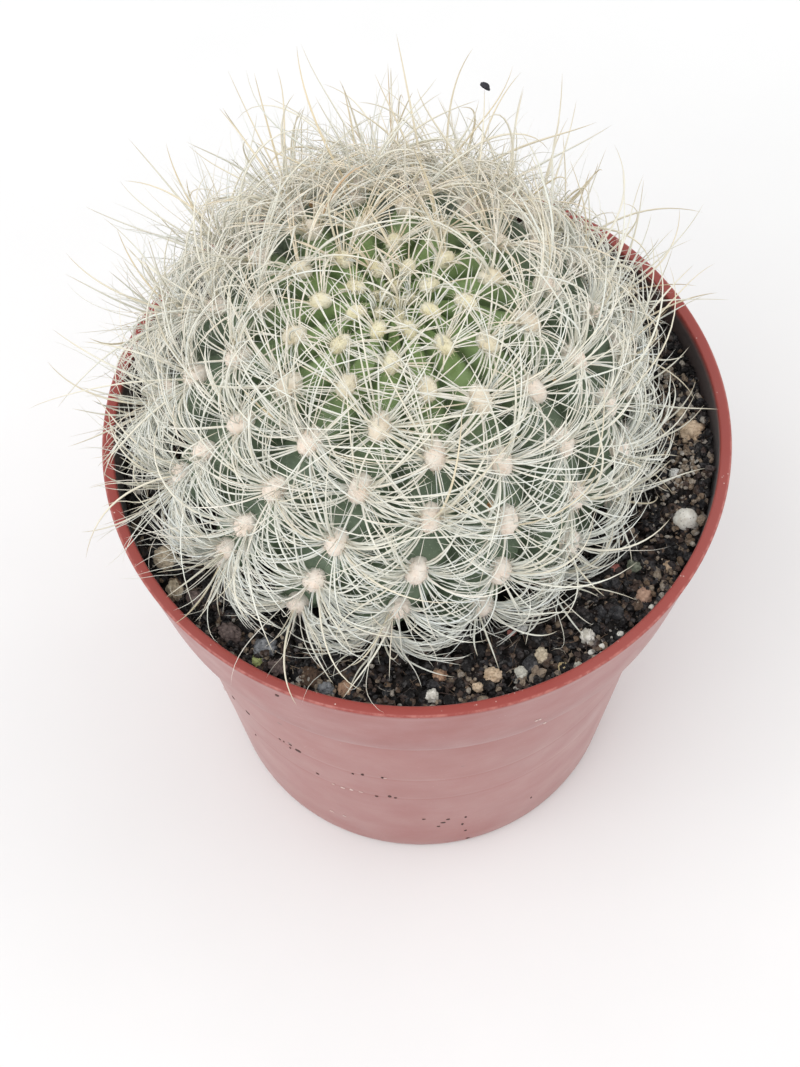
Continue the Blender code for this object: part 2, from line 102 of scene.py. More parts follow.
# Plant body, as in the part
PLANT = np.array((-0.0032, 0.0010, RIM_HEIGHT + 0.006))
BODY_RADIUS = 0.0364
BODY_RISE = 0.0302
HALF_AXES = np.array((BODY_RADIUS, BODY_RADIUS, BODY_RISE))
RIBS = 16
RIB_DEPTH = 0.0028
TUBERCLE_HEIGHT = 0.0019
NOTCH_SHARE = -0.30
CROWN_NOTCH = 0.0011
CROWN_DIP = 0.0012
CROWN_ROWS = 4
CROWN_TUBERCLE_SHARE = 0.45
TWIST = 0.30
FIRST_RIB = 3.4
TWIST_FROM_LATITUDE = 18.0
TOP_LATITUDE = 80.25
LATITUDE_STEP = 7.75
BODY_ROWS = 14
ROOT_ROWS = ((0.0300, 0.0012), (0.0262, 0.0060), (0.0190, 0.0130), (0.0110, 0.0200), (0.0050, 0.0250))
ROOT_TIP_DEPTH = 0.0275
ROOT_GAP = 0.0005
PAD_LENGTH = 0.0032
PAD_WIDTH = 0.0022
PAD_HEIGHT = 0.0011

UP = np.array((0.0, 0.0, 1.0))
SEED = 41


# Small helpers for points and meshes


def unit(vectors):
    """Each row scaled to length one."""
    return vectors / np.maximum(np.linalg.norm(vectors, axis=-1, keepdims=True), 1e-12)


def dot(first, second):
    return np.einsum("...i,...i->...", first, second)[..., None]


def ease(value, start, end):
    """How far a value is from a start to an end, kept within 0 and 1."""
    return np.clip((value - start) / (end - start), 0.0, 1.0)


def circle_of(count):
    """Points on the unit circle."""
    angles = np.arange(count) * 2 * np.pi / count
    return np.column_stack([np.cos(angles), np.sin(angles)])


def from_front(angle):
    """The level direction at an angle in radians from the front towards +X."""
    return np.stack([np.sin(angle), -np.cos(angle), np.zeros_like(angle)], axis=-1)


def at_height(flat, height=0.0):
    """Rows of x and y, with a height."""
    return np.column_stack([flat[:, :2], np.full(len(flat), height)])


def noise_at(points, size, octaves=2):
    """Smooth noise in about -1 to 1 at each point; size is the distance between its lumps."""
    values = np.zeros(len(points))
    for octave in range(octaves):
        scale = 2 ** octave / size
        share = 0.5 ** octave
        values += [share * noise.noise(Vector(point) * scale) for point in points]
    return values


def cell_noise(points, size, steepness):
    """Rounded lumps with creases between them, and a number for each lump, both 0 to 1."""
    relief = []
    tones = []
    for point in points:
        distances, corners = noise.voronoi(Vector(point) / size)
        relief.append(min(1.0, steepness * (distances[1] - distances[0])))
        tones.append(noise.cell(corners[0] * 97.0))
    return np.sqrt(np.array(relief)), np.array(tones) % 1.0


def new_piece(name, points, faces, material, slot, replaces=(), **attributes):
    """One smooth-shaded mesh that rides on the pot; each attribute is a number for every point."""
    mesh = bpy.data.meshes.new(name)
    mesh.from_pydata(np.asarray(points).tolist(), [], faces)
    mesh.update()
    mesh.shade_smooth()
    mesh.materials.append(material)
    for key, values in attributes.items():
        layer = mesh.attributes.new(key, "FLOAT", "POINT")
        layer.data.foreach_set("value", np.asarray(values, dtype=np.float32))
    piece = bpy.data.objects.new(name, mesh)
    bpy.context.scene.collection.objects.link(piece)
    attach(piece, "root")
    for node_name in replaces:
        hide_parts(node_name)
    return piece


def lattice_faces(rings, columns):
    """Quads between closed rings of points."""
    faces = []
    for low in range(0, (rings - 1) * columns, columns):
        high = low + columns
        for column in range(columns):
            following = (column + 1) % columns
            faces.append((low + column, low + following, high + following, high + column))
    return faces


def icosphere(subdivisions):
    """Points and triangles of a unit icosphere."""
    bm = bmesh.new()
    bmesh.ops.create_icosphere(bm, subdivisions=subdivisions, radius=1.0)
    points = np.array([vertex.co[:] for vertex in bm.verts])
    faces = np.array([[vertex.index for vertex in face.verts] for face in bm.faces])
    bm.free()
    return points, faces


def merge(shapes, triangles):
    """Join shapes that all have the same triangles."""
    faces = np.concatenate([triangles + number * len(shapes[0]) for number in range(len(shapes))])
    return np.concatenate(shapes), faces.tolist()


def turned(shape, angle):
    """A shape turned about its own upright axis."""
    return shape @ np.array(Matrix.Rotation(angle, 3, "Z")).T


class Look:
    """A material, with short ways to add shader nodes to it."""

    def __init__(self, name):
        self.material = bpy.data.materials.new(name)
        self.material.use_nodes = True
        self.tree = self.material.node_tree
        self.place = self.add("TexCoord", {}, "Object")

    def put(self, socket, value):
        """Give an input a number, a colour or the output of another node."""
        if isinstance(value, bpy.types.NodeSocket):
            self.tree.links.new(value, socket)
        else:
            socket.default_value = (*value, 1.0) if socket.type == "RGBA" else value

    def add(self, kind, inputs, output=0, **settings):
        """Add a shader node and return one of its outputs."""
        made = self.tree.nodes.new("ShaderNode" + kind)
        for key, value in settings.items():
            setattr(made, key, value)
        for key, value in inputs.items():
            self.put(made.inputs[key], value)
        return made.outputs[output]

    def stretched(self, *scale):
        return self.add("Mapping", {"Vector": self.place, "Scale": scale}, "Vector")

    def grain(self, size, detail=4.0, roughness=0.55, distortion=0.0, place=None):
        """Noise whose lumps are about size apart, from 0 to 1."""
        inputs = {"Vector": place or self.place, "Scale": 1 / size, "Detail": detail}
        inputs.update({"Roughness": roughness, "Distortion": distortion})
        return self.add("TexNoise", inputs, "Fac")

    def cells(self, size, output="Distance", place=None):
        return self.add("TexVoronoi", {"Vector": place or self.place, "Scale": 1 / size}, output)

    def attribute(self, name):
        return self.add("Attribute", {}, "Fac", attribute_name=name)

    def fade(self, value, start, end):
        """0 at the start of a range, 1 at its end."""
        return self.add("MapRange", {"Value": value, "From Min": start, "From Max": end})

    def math(self, operation, first, second):
        return self.add("Math", {0: first, 1: second}, operation=operation)

    def times(self, first, second):
        return self.math("MULTIPLY", first, second)

    def ramp(self, value, *stops):
        """Colours or grey levels along a value; each stop is (place, colour or level)."""
        made = self.tree.nodes.new("ShaderNodeValToRGB")
        elements = made.color_ramp.elements
        while len(elements) < len(stops):
            elements.new(0.5)
        for element, (place, colour) in zip(elements, stops):
            element.position = place
            level = colour if isinstance(colour, tuple) else (colour, colour, colour)
            element.color = (*level, 1.0)
        self.put(made.inputs["Fac"], value)
        return made.outputs["Color"]

    def mix(self, share, first, second):
        return self.add("Mix", {0: share, 6: first, 7: second}, 2, data_type="RGBA")

    def over(self, colour, top, value, *stops):
        """A top colour over another one, as strong as the ramp of a value says."""
        return self.mix(self.ramp(value, *stops), colour, top)

    def bump(self, height, depth, strength, normal=None):
        inputs = {"Height": height, "Distance": depth, "Strength": strength}
        if normal is not None:
            inputs["Normal"] = normal
        return self.add("Bump", inputs, "Normal")

    def finish(self, colour, roughness, **values):
        """Set the shader's inputs; a name's underscores stand for spaces."""
        shader = self.tree.nodes["Principled BSDF"]
        for key, value in {"Base_Color": colour, "Roughness": roughness, **values}.items():
            self.put(shader.inputs[key.replace("_", " ")], value)
        return self.material


# Camera, light and floor

CAMERA_PLACE = (-0.0033, -0.1989, RIM_HEIGHT + 0.3287)
CAMERA_LENS = 77.6
CAMERA_DOWN = 61.41
CAMERA_ROLL = -1.9
SKY_STRENGTH = 0.92
# Place, power and size of each light
LIGHTS = {"key_light": ((-0.35, -0.30, 0.80), 3.0, 0.60), "fill_light": ((0.60, 0.10, 0.60), 1.0, 0.60)}
FLOOR_HALF = 3.0
FLOOR_DROP = 0.0002


def build_camera():
    bpy.context.scene.view_settings.view_transform = "Standard"
    data = bpy.data.cameras.new("camera")
    data.lens = CAMERA_LENS
    data.sensor_width = 36.0
    data.clip_start = 0.01
    data.clip_end = 10.0
    camera = bpy.data.objects.new("camera", data)
    bpy.context.scene.collection.objects.link(camera)
    tilt = Matrix.Rotation(math.radians(90 - CAMERA_DOWN), 4, "X")
    roll = Matrix.Rotation(math.radians(CAMERA_ROLL), 4, "Z")
    camera.matrix_world = Matrix.Translation(CAMERA_PLACE) @ tilt @ roll
    bpy.context.scene.camera = camera


def build_light():
    world = bpy.data.worlds.new("studio")
    world.use_nodes = True
    background = world.node_tree.nodes["Background"]
    background.inputs["Color"].default_value = (1.0, 1.0, 1.0, 1.0)
    background.inputs["Strength"].default_value = SKY_STRENGTH
    bpy.context.scene.world = world
    for name, (place, power, size) in LIGHTS.items():
        data = bpy.data.lights.new(name, "AREA")
        data.energy = power
        data.size = size
        light = bpy.data.objects.new(name, data)
        bpy.context.scene.collection.objects.link(light)
        aim = Vector((0.0, 0.0, RIM_HEIGHT)) - Vector(place)
        light.matrix_world = Matrix.Translation(place) @ aim.to_track_quat("-Z", "Y").to_matrix().to_4x4()


def build_floor():
    look = Look("pale_floor")
    shade = look.ramp(look.grain(0.08), (0.3, (0.82, 0.825, 0.825)), (0.7, (0.85, 0.855, 0.855)))
    corners = [(x * FLOOR_HALF, y * FLOOR_HALF, 0.0) for x, y in ((-1, -1), (1, -1), (1, 1), (-1, 1))]
    mesh = bpy.data.meshes.new("studio_floor")
    mesh.from_pydata(corners, [], [(0, 1, 2, 3)])
    mesh.materials.append(look.finish(shade, 0.8))
    floor = bpy.data.objects.new("studio_floor", mesh)
    floor.location.z = -FLOOR_DROP
    bpy.context.scene.collection.objects.link(floor)


# Plant body

SKIN_COLUMNS_PER_RIB = 20
SKIN_LATITUDE_STEP = 0.9
SKIN_LOWEST = TOP_LATITUDE - LATITUDE_STEP * (BODY_ROWS - 1)
SKIN_TOP = 89.2
SKIN_GRAIN = 0.00007
SKIN_GRAIN_SIZE = 0.0011
ROOT_STEPS = 3


def row_latitude(row):
    return TOP_LATITUDE - LATITUDE_STEP * (row - 1)


def rib_longitude(rib, latitude):
    """Degrees from the front towards +X; the ribs lean a little as they rise."""
    return FIRST_RIB + 360.0 / RIBS * rib + TWIST * (latitude - TWIST_FROM_LATITUDE)


def on_ellipsoid(longitude, latitude, out=0.0):
    """Points over the body's ellipsoid, and the outward directions there."""
    way = from_front(np.radians(longitude))
    flat = np.cos(np.radians(latitude))[..., None]
    rise = np.sin(np.radians(latitude))[..., None]
    outward = unit(way * flat / BODY_RADIUS + UP * rise / BODY_RISE)
    point = way * BODY_RADIUS * flat + UP * BODY_RISE * rise
    return PLANT + point + outward * np.asarray(out)[..., None], outward


def above_skin(points):
    """Height over the body's ellipsoid, and the outward direction."""
    away = points - PLANT
    share = np.linalg.norm(away / HALF_AXES, axis=-1, keepdims=True)
    slope = away / HALF_AXES ** 2 / np.maximum(share, 1e-9)
    steep = np.linalg.norm(slope, axis=-1, keepdims=True)
    return (share - 1) / steep, slope / steep


def young_share(row):
    """Tubercles are smaller in the few rows round the crown."""
    return CROWN_TUBERCLE_SHARE + (1 - CROWN_TUBERCLE_SHARE) * ease(row, 0, CROWN_ROWS)


def skin_relief(longitude, latitude):
    """How far the skin stands out: deep between ribs, swollen at each felt pad."""
    row = 1 + (TOP_LATITUDE - latitude) / LATITUDE_STEP
    place = (longitude - FIRST_RIB - TWIST * (latitude - TWIST_FROM_LATITUDE)) * RIBS / 360
    rib = np.round(place)
    across = place - rib
    beat = np.cos(np.pi * (row + rib - 1))
    middle = (1 + NOTCH_SHARE) / 2
    ridge = TUBERCLE_HEIGHT * young_share(row) * (middle + (1 - middle) * beat)
    ridge = ridge - CROWN_NOTCH * ease(row, 6, 2) * (1 - beat) / 2
    furrow = RIB_DEPTH * ease(row, -4.0, CROWN_ROWS)
    relief = ridge * np.cos(np.pi * across) ** 2 - furrow * np.abs(2 * across) ** 3.2
    towards_pole = ease(latitude, 90, TOP_LATITUDE)
    relief = relief * towards_pole - CROWN_DIP * (1 - towards_pole) ** 2
    return relief, across


def skin_look():
    """Green skin: fresh at the crown, greyer and bluer lower down, with painted shade that darkens the
    furrows.
    """
    look = Look("cactus_skin")
    patches = look.grain(0.006, 3)
    fine = look.grain(0.0007, 5, 0.65)
    low = look.ramp(patches, (0.3, (0.100, 0.148, 0.092)), (0.7, (0.165, 0.220, 0.145)))
    fresh = look.ramp(patches, (0.3, (0.175, 0.270, 0.085)), (0.7, (0.270, 0.385, 0.150)))
    colour = look.mix(look.attribute("young"), low, fresh)
    # Painted shade: the skin darkens towards the furrows between the ribs.
    colour = look.mix(look.attribute("furrow"), colour, (0.055, 0.084, 0.042))
    flecks = look.ramp(look.cells(0.00045), (0.10, 1.0), (0.22, 0.0))
    waxy = look.mix(look.times(flecks, 0.35), colour, (0.42, 0.52, 0.38))
    shine = look.ramp(fine, (0.3, 0.42), (0.7, 0.62))
    return look.finish(waxy, shine, Normal=look.bump(fine, 0.00012, 0.7))


def build_body():
    """The ribbed skin from the crown down, and the plain root end under the soil."""
    columns = RIBS * SKIN_COLUMNS_PER_RIB
    steps = round((SKIN_TOP - SKIN_LOWEST) / SKIN_LATITUDE_STEP)
    latitudes = np.linspace(SKIN_TOP, SKIN_LOWEST, steps + 1)
    ribs = np.arange(columns) / SKIN_COLUMNS_PER_RIB - 0.5
    latitude, rib = np.meshgrid(latitudes, ribs, indexing="ij")
    longitude = rib_longitude(rib, latitude)
    relief, across = skin_relief(longitude, latitude)
    base = on_ellipsoid(longitude, latitude)[0].reshape(-1, 3)
    rough = SKIN_GRAIN * noise_at(base, SKIN_GRAIN_SIZE, 2).reshape(relief.shape)
    rings = list(on_ellipsoid(longitude, latitude, relief + rough)[0])
    way = from_front(np.radians(longitude[-1]))
    above = rings[-1]
    for radius, depth in ROOT_ROWS:
        below = at_height(PLANT + radius * way, SOIL_LEVEL - depth)
        rings += [above + (below - above) * step / ROOT_STEPS for step in range(1, ROOT_STEPS + 1)]
        above = below
    top = PLANT + UP * (BODY_RISE - CROWN_DIP)
    tip = (PLANT[0], PLANT[1], SOIL_LEVEL - ROOT_TIP_DEPTH)
    points = np.concatenate([*rings, [top], [tip]])
    faces = [face[::-1] for face in lattice_faces(len(rings), columns)]
    last = (len(rings) - 1) * columns
    for column in range(columns):
        following = (column + 1) % columns
        faces.append((len(points) - 2, column, following))
        faces.append((len(points) - 1, last + following, last + column))
    young = ease(latitude, 42, 68) ** 1.2
    # How much painted shade each point takes, most deep in the furrows; the root end under the soil takes
    # 0.8.
    furrow = np.clip(np.abs(2 * across) * 1.25 - 0.30, 0.0, 1.0) ** 1.5 * (1 - 0.3 * young)
    under = len(points) - young.size
    young = np.concatenate([young.ravel(), np.zeros(under)])
    furrow = np.concatenate([furrow.ravel(), np.full(under, 0.8)])
    look = skin_look()
    new_piece("cactus_body", points, faces, look, "cactus", ["cactus"], young=young, furrow=furrow)


# Felt pads

# Longitude and latitude of the youngest pads, crowded at the growing tip
CROWN_BUDS = ((20.0, 85.3), (98.0, 85.8), (171.0, 85.0), (243.0, 86.0), (312.0, 85.4), (60.0, 89.2))
PAD_SWELL = (1.62, 1.60, 1.45)
PAD_RISE = 0.0002
PAD_ROUGHNESS = 0.13
PAD_GRAIN = 0.07
FUZZ_PER_PAD = 50
FUZZ_WIDTH = 0.00009
FUZZ_LENGTH = (0.0004, 0.0009)


def pad_growth(latitude):
    """Pads are a little smaller on the young tubercles round the crown."""
    return np.interp(latitude, (56, 66, 80, 84), (1.0, 0.80, 0.68, 0.50))


def spine_growth(latitude):
    """Spines are much shorter round the crown."""
    return np.interp(latitude, (40, 58, 70, 80, 85), (1.0, 0.84, 0.60, 0.45, 0.26))


def find_pads():
    """Place, sideward, upward and outward directions, longitude and latitude of each felt pad."""
    rows, ribs = np.meshgrid(np.arange(1, BODY_ROWS), np.arange(RIBS), indexing="ij")
    grown = (rows + ribs) % 2 == 1
    row, rib = rows[grown], ribs[grown]
    bud_longitudes, bud_latitudes = zip(*CROWN_BUDS)
    latitude = np.concatenate([row_latitude(row), bud_latitudes])
    longitude = np.concatenate([rib_longitude(rib, row_latitude(row)), bud_longitudes])
    out = np.concatenate([TUBERCLE_HEIGHT * young_share(row), np.zeros(len(CROWN_BUDS))])
    place, outward = on_ellipsoid(longitude, latitude, out)
    upward = on_ellipsoid(longitude + 2 * TWIST, latitude + 2.0)[0] - on_ellipsoid(longitude, latitude)[0]
    upward = unit(upward - outward * dot(upward, outward))
    axes = np.stack([unit(np.cross(upward, outward)), upward, outward], axis=1)
    return place, axes, longitude, latitude


PAD_PLACE, PAD_AXES, PAD_LONGITUDE, PAD_LATITUDE = find_pads()
PAD_SIDE, PAD_UP, PAD_OUT = PAD_AXES.transpose(1, 0, 2)
PADS = len(PAD_PLACE)


def felt_look():
    """Short dense wool: cream on the young pads, pinkish on the grown ones, with tan wear in places."""
    look = Look("areole_felt")
    patches = look.grain(0.0016)
    fibres = look.grain(0.00022, 5, 0.7)
    pinkish = ((0.3, (0.97, 0.80, 0.68)), (0.5, (0.98, 0.87, 0.77)), (0.7, (0.98, 0.92, 0.84)))
    grown = look.ramp(patches, *pinkish)
    cream = look.ramp(patches, (0.3, (0.80, 0.74, 0.46)), (0.7, (0.90, 0.86, 0.66)))
    colour = look.mix(look.attribute("young"), grown, cream)
    colour = look.mix(look.times(look.attribute("high"), 0.35), colour, (0.93, 0.92, 0.88))
    colour = look.over(colour, (0.88, 0.68, 0.48), fibres, (0.35, 0.20), (0.55, 0.0))
    return look.finish(colour, 0.95, Sheen_Weight=0.5, Normal=look.bump(fibres, 0.0002, 0.6))


def build_pads(look):
    """A swollen lumpy oval at each areole."""
    draw = np.random.default_rng(SEED)
    ball, triangles = icosphere(3)
    shapes = []
    for place, axes, latitude in zip(PAD_PLACE, PAD_AXES, PAD_LATITUDE):
        offset = draw.uniform(0, 50, 3)
        rough = 1 + PAD_ROUGHNESS * noise_at(ball + offset, 0.5, 2)
        rough = rough + PAD_GRAIN * noise_at(ball + offset, 0.2, 1)
        half = np.array((PAD_WIDTH / 2, PAD_LENGTH / 2, PAD_HEIGHT * draw.uniform(0.9, 1.1)))
        shape = ball * rough[:, None] * half * PAD_SWELL * pad_growth(latitude) + (0, PAD_RISE, 0)
        shapes.append(place + shape @ axes)
    points, faces = merge(shapes, triangles)
    young = np.repeat(ease(PAD_LATITUDE, 50, 75), len(ball))
    high = np.tile(np.clip(ball[:, 1] * 1.4 - 0.3, 0.0, 1.0), PADS)
    new_piece("felt_pads", points, faces, look, "felt", young=young, high=high)


# Spines: many at once, grown step by step over the body

GROWTH_STEPS = 24
SKIN_CLEARANCE = 0.0024
TIP_SHARE = 0.12
# The level that spines stay above: over the soil, the heap of it and the rim
FLOOR_RADII = (0.0, 0.036, 0.043, 0.0465, 0.0500, 0.2)
FLOOR_HEIGHTS = np.array((0.0007, 0.0007, 0.0040, 0.0048, 0.0075, 0.0075)) + SOIL_LEVEL
BOX_LOW = np.array(CAD_BOX[0]) + 0.0004
BOX_HIGH = np.array(CAD_BOX[1]) - 0.0004


def spine_batch(owner, angle, length, rise, fall, sweep, width, tone, along, curl):
    """Spines that leave pads at an angle from the rib's upward line.

    rise is how steeply each leaves the skin, fall how much of that it loses by its tip, and curl how
    much more its last part bends. along places its root up or down the felt pad.
    """
    turn = np.radians(angle)
    size = pad_growth(PAD_LATITUDE[owner])[:, None]
    foot = PAD_PLACE[owner] + PAD_UP[owner] * (along * PAD_LENGTH * 0.5)[:, None] * size
    foot = foot + PAD_SIDE[owner] * (np.sin(turn) * PAD_WIDTH * 0.55)[:, None] * size
    return {
        "foot": foot - PAD_OUT[owner] * 0.0002,
        "heading": PAD_UP[owner] * np.cos(turn)[:, None] + PAD_SIDE[owner] * np.sin(turn)[:, None],
        "rise": np.radians(rise),
        "fall": np.radians(fall),
        "curl": np.radians(curl),
        "sweep": sweep,
        "length": length,
        "width": width,
        "tone": tone,
    }


def grow(batch, draw, wobble=0.05):
    """Paths of the spines: each follows the body's curve and turns towards the crown."""
    point = batch["foot"].copy()
    side = batch["heading"].copy()
    lean = draw.normal(0.0, wobble, side.shape)
    path = [point]
    for step in range(GROWTH_STEPS):
        share = (step + 0.5) / GROWTH_STEPS
        outward = above_skin(point)[1]
        side = side + (UP - outward * outward[:, 2:3]) * batch["sweep"][:, None] / GROWTH_STEPS
        side = side + lean * (0.5 + 2.5 * share ** 3) / GROWTH_STEPS
        side = unit(side - outward * dot(side, outward))
        rise = (batch["rise"] - batch["fall"] * share ** 0.8 - batch["curl"] * share ** 3)[:, None]
        heading = side * np.cos(rise) + outward * np.sin(rise)
        point = point + heading * (batch["length"] / GROWTH_STEPS)[:, None]
        height, outward = above_skin(point)
        least = SKIN_CLEARANCE * min(1.0, (step + 1) / 5)
        point = point + outward * np.maximum(least - height, 0.0)
        from_axis = np.hypot(point[:, 0], point[:, 1])
        point[:, 2] = np.maximum(point[:, 2], np.interp(from_axis, FLOOR_RADII, FLOOR_HEIGHTS))
        point = np.clip(point, BOX_LOW, BOX_HIGH)
        path.append(point)
    path = np.stack(path, axis=1)
    for _ in range(3):
        path[:, 1:-1] = (path[:, :-2] + 2 * path[:, 1:-1] + path[:, 2:]) / 4
    return path


def resample(paths, count):
    """Each path again with count points, evenly along its steps."""
    places = np.linspace(0, paths.shape[1] - 1, count)
    low = np.minimum(places.astype(int), paths.shape[1] - 2)
    share = (places - low)[None, :, None]
    return paths[:, low] * (1 - share) + paths[:, low + 1] * share


def tubes(paths, widths, sides, taper=2.4):
    """Closed tapering tubes along paths: points, faces, and how far along each point lies."""
    count, steps = paths.shape[:2]
    rings = steps - 1
    tangents = unit(np.gradient(paths, axis=1))
    across = unit(np.cross(tangents[:, 0], UP + np.array((0.3, 0.2, 0.0))))
    stride = rings * sides + 1
    points = np.empty((count, stride, 3))
    for ring in range(rings):
        tangent = tangents[:, ring]
        across = unit(across - tangent * dot(across, tangent))
        other = np.cross(tangent, across)
        radius = widths / 2 * (TIP_SHARE + (1 - TIP_SHARE) * (1 - (ring / rings) ** taper))
        for side in range(sides):
            angle = side * 2 * np.pi / sides
            offset = across * math.cos(angle) + other * math.sin(angle)
            points[:, ring * sides + side] = paths[:, ring] + offset * radius[:, None]
    points[:, -1] = paths[:, -1]
    along = np.append(np.repeat(np.arange(rings) / rings, sides), 1.0)
    last = (rings - 1) * sides
    tips = [(last + side, last + (side + 1) % sides, stride - 1) for side in range(sides)]
    base = [tuple(range(sides))[::-1]]
    offsets = (np.arange(count) * stride)[:, None, None]
    faces = []
    for part in (lattice_faces(rings, sides), tips, base):
        faces += (np.array(part)[None] + offsets).reshape(-1, len(part[0])).tolist()
    return points.reshape(-1, 3), faces, np.tile(along, count)


def add_spines(name, paths, widths, tones, sides, count, look):
    points, faces, along = tubes(resample(paths, count), widths, sides)
    tone = np.repeat(tones, len(points) // len(paths))
    new_piece(name, points, faces, look, "spine", tone=tone, along=along)


def spine_look(name, tip, roughness, *stops):
    """Horny bristle: its colour by its own tone, darker to the tip, with faint bands and streaks."""
    look = Look(name)
    colour = look.ramp(look.attribute("tone"), *stops)
    colour = look.over(colour, (0.78, 0.64, 0.38), look.grain(0.0035, 3), (0.54, 0.0), (0.78, 0.35))
    colour = look.over(colour, tip, look.attribute("along"), (0.72, 0.0), (1.0, 0.75))
    fine = look.grain(0.0002)
    colour = look.over(colour, (0.60, 0.56, 0.45), fine, (0.35, 0.12), (0.65, 0.0))
    shine = look.ramp(fine, (0.3, roughness - 0.08), (0.7, roughness + 0.10))
    return look.finish(colour, shine, Normal=look.bump(fine, 0.00004, 0.6))


RADIALS_PER_PAD = 34
FINE_PER_PAD = 22
CENTRALS_PER_PAD = 6
HAZE_HAIRS = 900
OVER_CROWN = 64
# Ranges of the length, rise, fall, sweep, width, tone and along
HAZE = (
    (0.0120, 0.0220), (44, 82), (0, 60), (-0.3, 1.4), (0.00016, 0.00026), (0.2, 0.95), (-0.7, 0.7)
)
ARCHING = (
    (0.0180, 0.0270), (46, 66), (48, 70), (0.0, 0.5), (0.00024, 0.00038), (0.0, 0.5), (-0.2, 0.6)
)
# Spread in degrees of the angle and of the curl
HAZE_SPREAD = (75, 55)
ARCHING_SPREAD = (38, 11)


def facing_back(owner):
    """How much each pad faces away from the photographed side, 0 to 1."""
    return np.clip(-np.cos(np.radians(PAD_LONGITUDE[owner])), 0.0, 1.0)


def fewer_at_crown(draw, per_pad, crown_share):
    """An owner for each spine: all spines of the grown pads, and a share of those of the young ones."""
    owner = np.repeat(np.arange(PADS), per_pad)
    share = np.interp(PAD_LATITUDE[owner], (46, 66, 80), (1.0, crown_share * 1.2, crown_share))
    return owner[draw.uniform(0, 1, len(owner)) < share]


def radial_batch(draw):
    """Bristles along both edges of each pad, like the teeth of two combs."""
    place = np.tile(np.arange(RADIALS_PER_PAD), PADS)
    owner = np.repeat(np.arange(PADS), RADIALS_PER_PAD)
    share = np.interp(PAD_LATITUDE[owner], (-12, 0, 48, 66, 80, 84), (1.0, 0.90, 0.88, 0.60, 0.38, 0.16))
    kept = draw.uniform(0, 1, len(owner)) < share
    owner, place = owner[kept], place[kept]
    total = len(owner)
    side = np.where(place % 2 == 0, 1.0, -1.0)
    along = 1 - 2 * (place // 2 + draw.uniform(0.1, 0.9, total)) / (RADIALS_PER_PAD // 2)
    angle = side * (98 - 66 * np.sign(along) * np.abs(along) ** 1.6 + draw.normal(0, 8, total))
    latitude = PAD_LATITUDE[owner]
    young = spine_growth(latitude)
    back = facing_back(owner)
    length = young * draw.uniform(0.0120, 0.0180, total) * (1 - 0.22 * np.abs(along) ** 2)
    length = length * (1 + 0.15 * back)
    star = ease(latitude, 48, 73)
    rise = draw.uniform(40, 66, total) - 4 * star + 8 * back
    fall = (rise + draw.uniform(-10, 20, total)) * (1 - 0.75 * star)
    sweep = draw.uniform(0.65, 1.35, total) * (1 - 0.75 * star)
    width = draw.uniform(0.00028, 0.00040, total) * young ** 0.25
    # Painted light: spines at the back get a paler, warmer tone that makes up for the shade they cast on
    # each other.
    tone = draw.normal(0.30, 0.16, total) + np.clip(latitude, 0, 60) / 200 + 0.30 * back
    tone = np.clip(tone, 0.0, 1.0)
    curl = draw.normal(0, 12, total)
    return spine_batch(owner, angle, length, rise, fall, sweep, width, tone, along * 0.95, curl)


def fine_batch(draw):
    """Thin white hairs among the bristles."""
    owner = fewer_at_crown(draw, FINE_PER_PAD, 0.25)
    total = len(owner)
    side = np.where(draw.uniform(0, 1, total) < 0.5, 1.0, -1.0)
    angle = side * draw.normal(86, 42, total)
    length = spine_growth(PAD_LATITUDE[owner]) * draw.uniform(0.0060, 0.0130, total)
    width = draw.uniform(0.00013, 0.00022, total)
    rise = draw.uniform(25, 68, total)
    fall = draw.uniform(15, 50, total)
    sweep = draw.uniform(0.0, 0.9, total)
    tone = draw.uniform(0.0, 0.35, total)
    along = np.cos(np.radians(angle)) * 0.5 + draw.uniform(-0.5, 0.5, total)
    curl = draw.normal(0, 15, total)
    return spine_batch(owner, angle, length, rise, fall, sweep, width, tone, along, curl)


def central_batch(draw):
    """Longer, thicker spines that arch over the bristles, most of them towards the crown."""
    owner = fewer_at_crown(draw, CENTRALS_PER_PAD, 0.2)
    total = len(owner)
    latitude = PAD_LATITUDE[owner]
    angle = draw.normal(0, 62, total)
    angle = np.where(latitude < 8, draw.normal(0, 95, total), angle)
    back = facing_back(owner)
    low_front = ease(latitude, 20, 0) * (1 - back)
    length = spine_growth(latitude) * draw.uniform(0.0165, 0.0275, total) * (1 + 0.1 * back)
    length = length * (1 - 0.30 * low_front)
    rise = draw.uniform(44, 78, total) + 6 * back
    fall = draw.uniform(10, 60, total)
    sweep = draw.uniform(0.0, 1.5, total)
    width = draw.uniform(0.00029, 0.00043, total) * (1 + 0.15 * back)
    # Painted light: as with the radials, spines at the back get a paler, warmer tone against their own
    # shade.
    tone = np.clip(draw.normal(0.26, 0.20, total) + 0.26 * back, 0.0, 1.0)
    along = draw.uniform(-0.6, 0.5, total)
    curl = draw.normal(0, 38, total)
    return spine_batch(owner, angle, length, rise, fall, sweep, width, tone, along, curl)


def even_batch(draw, owner, ranges, spread):
    """Spines whose values are drawn evenly from ranges, with a normal spread of the angle and the curl."""
    total = len(owner)
    angle = draw.normal(0, spread[0], total)
    values = [draw.uniform(*limits, total) for limits in ranges]
    return spine_batch(owner, angle, *values, draw.normal(0, spread[1], total))


def haze_batch(draw):
    """Long thin wavy hairs, most of them at the back and the left, that make a pale haze round the plant."""
    weight = np.clip(0.35 - PAD_PLACE[:, 0] / 0.06 + facing_back(np.arange(PADS)), 0.1, 2.0)
    weight = weight * (PAD_LATITUDE < 60)
    owner = draw.choice(PADS, HAZE_HAIRS, p=weight / weight.sum())
    return even_batch(draw, owner, HAZE, HAZE_SPREAD)


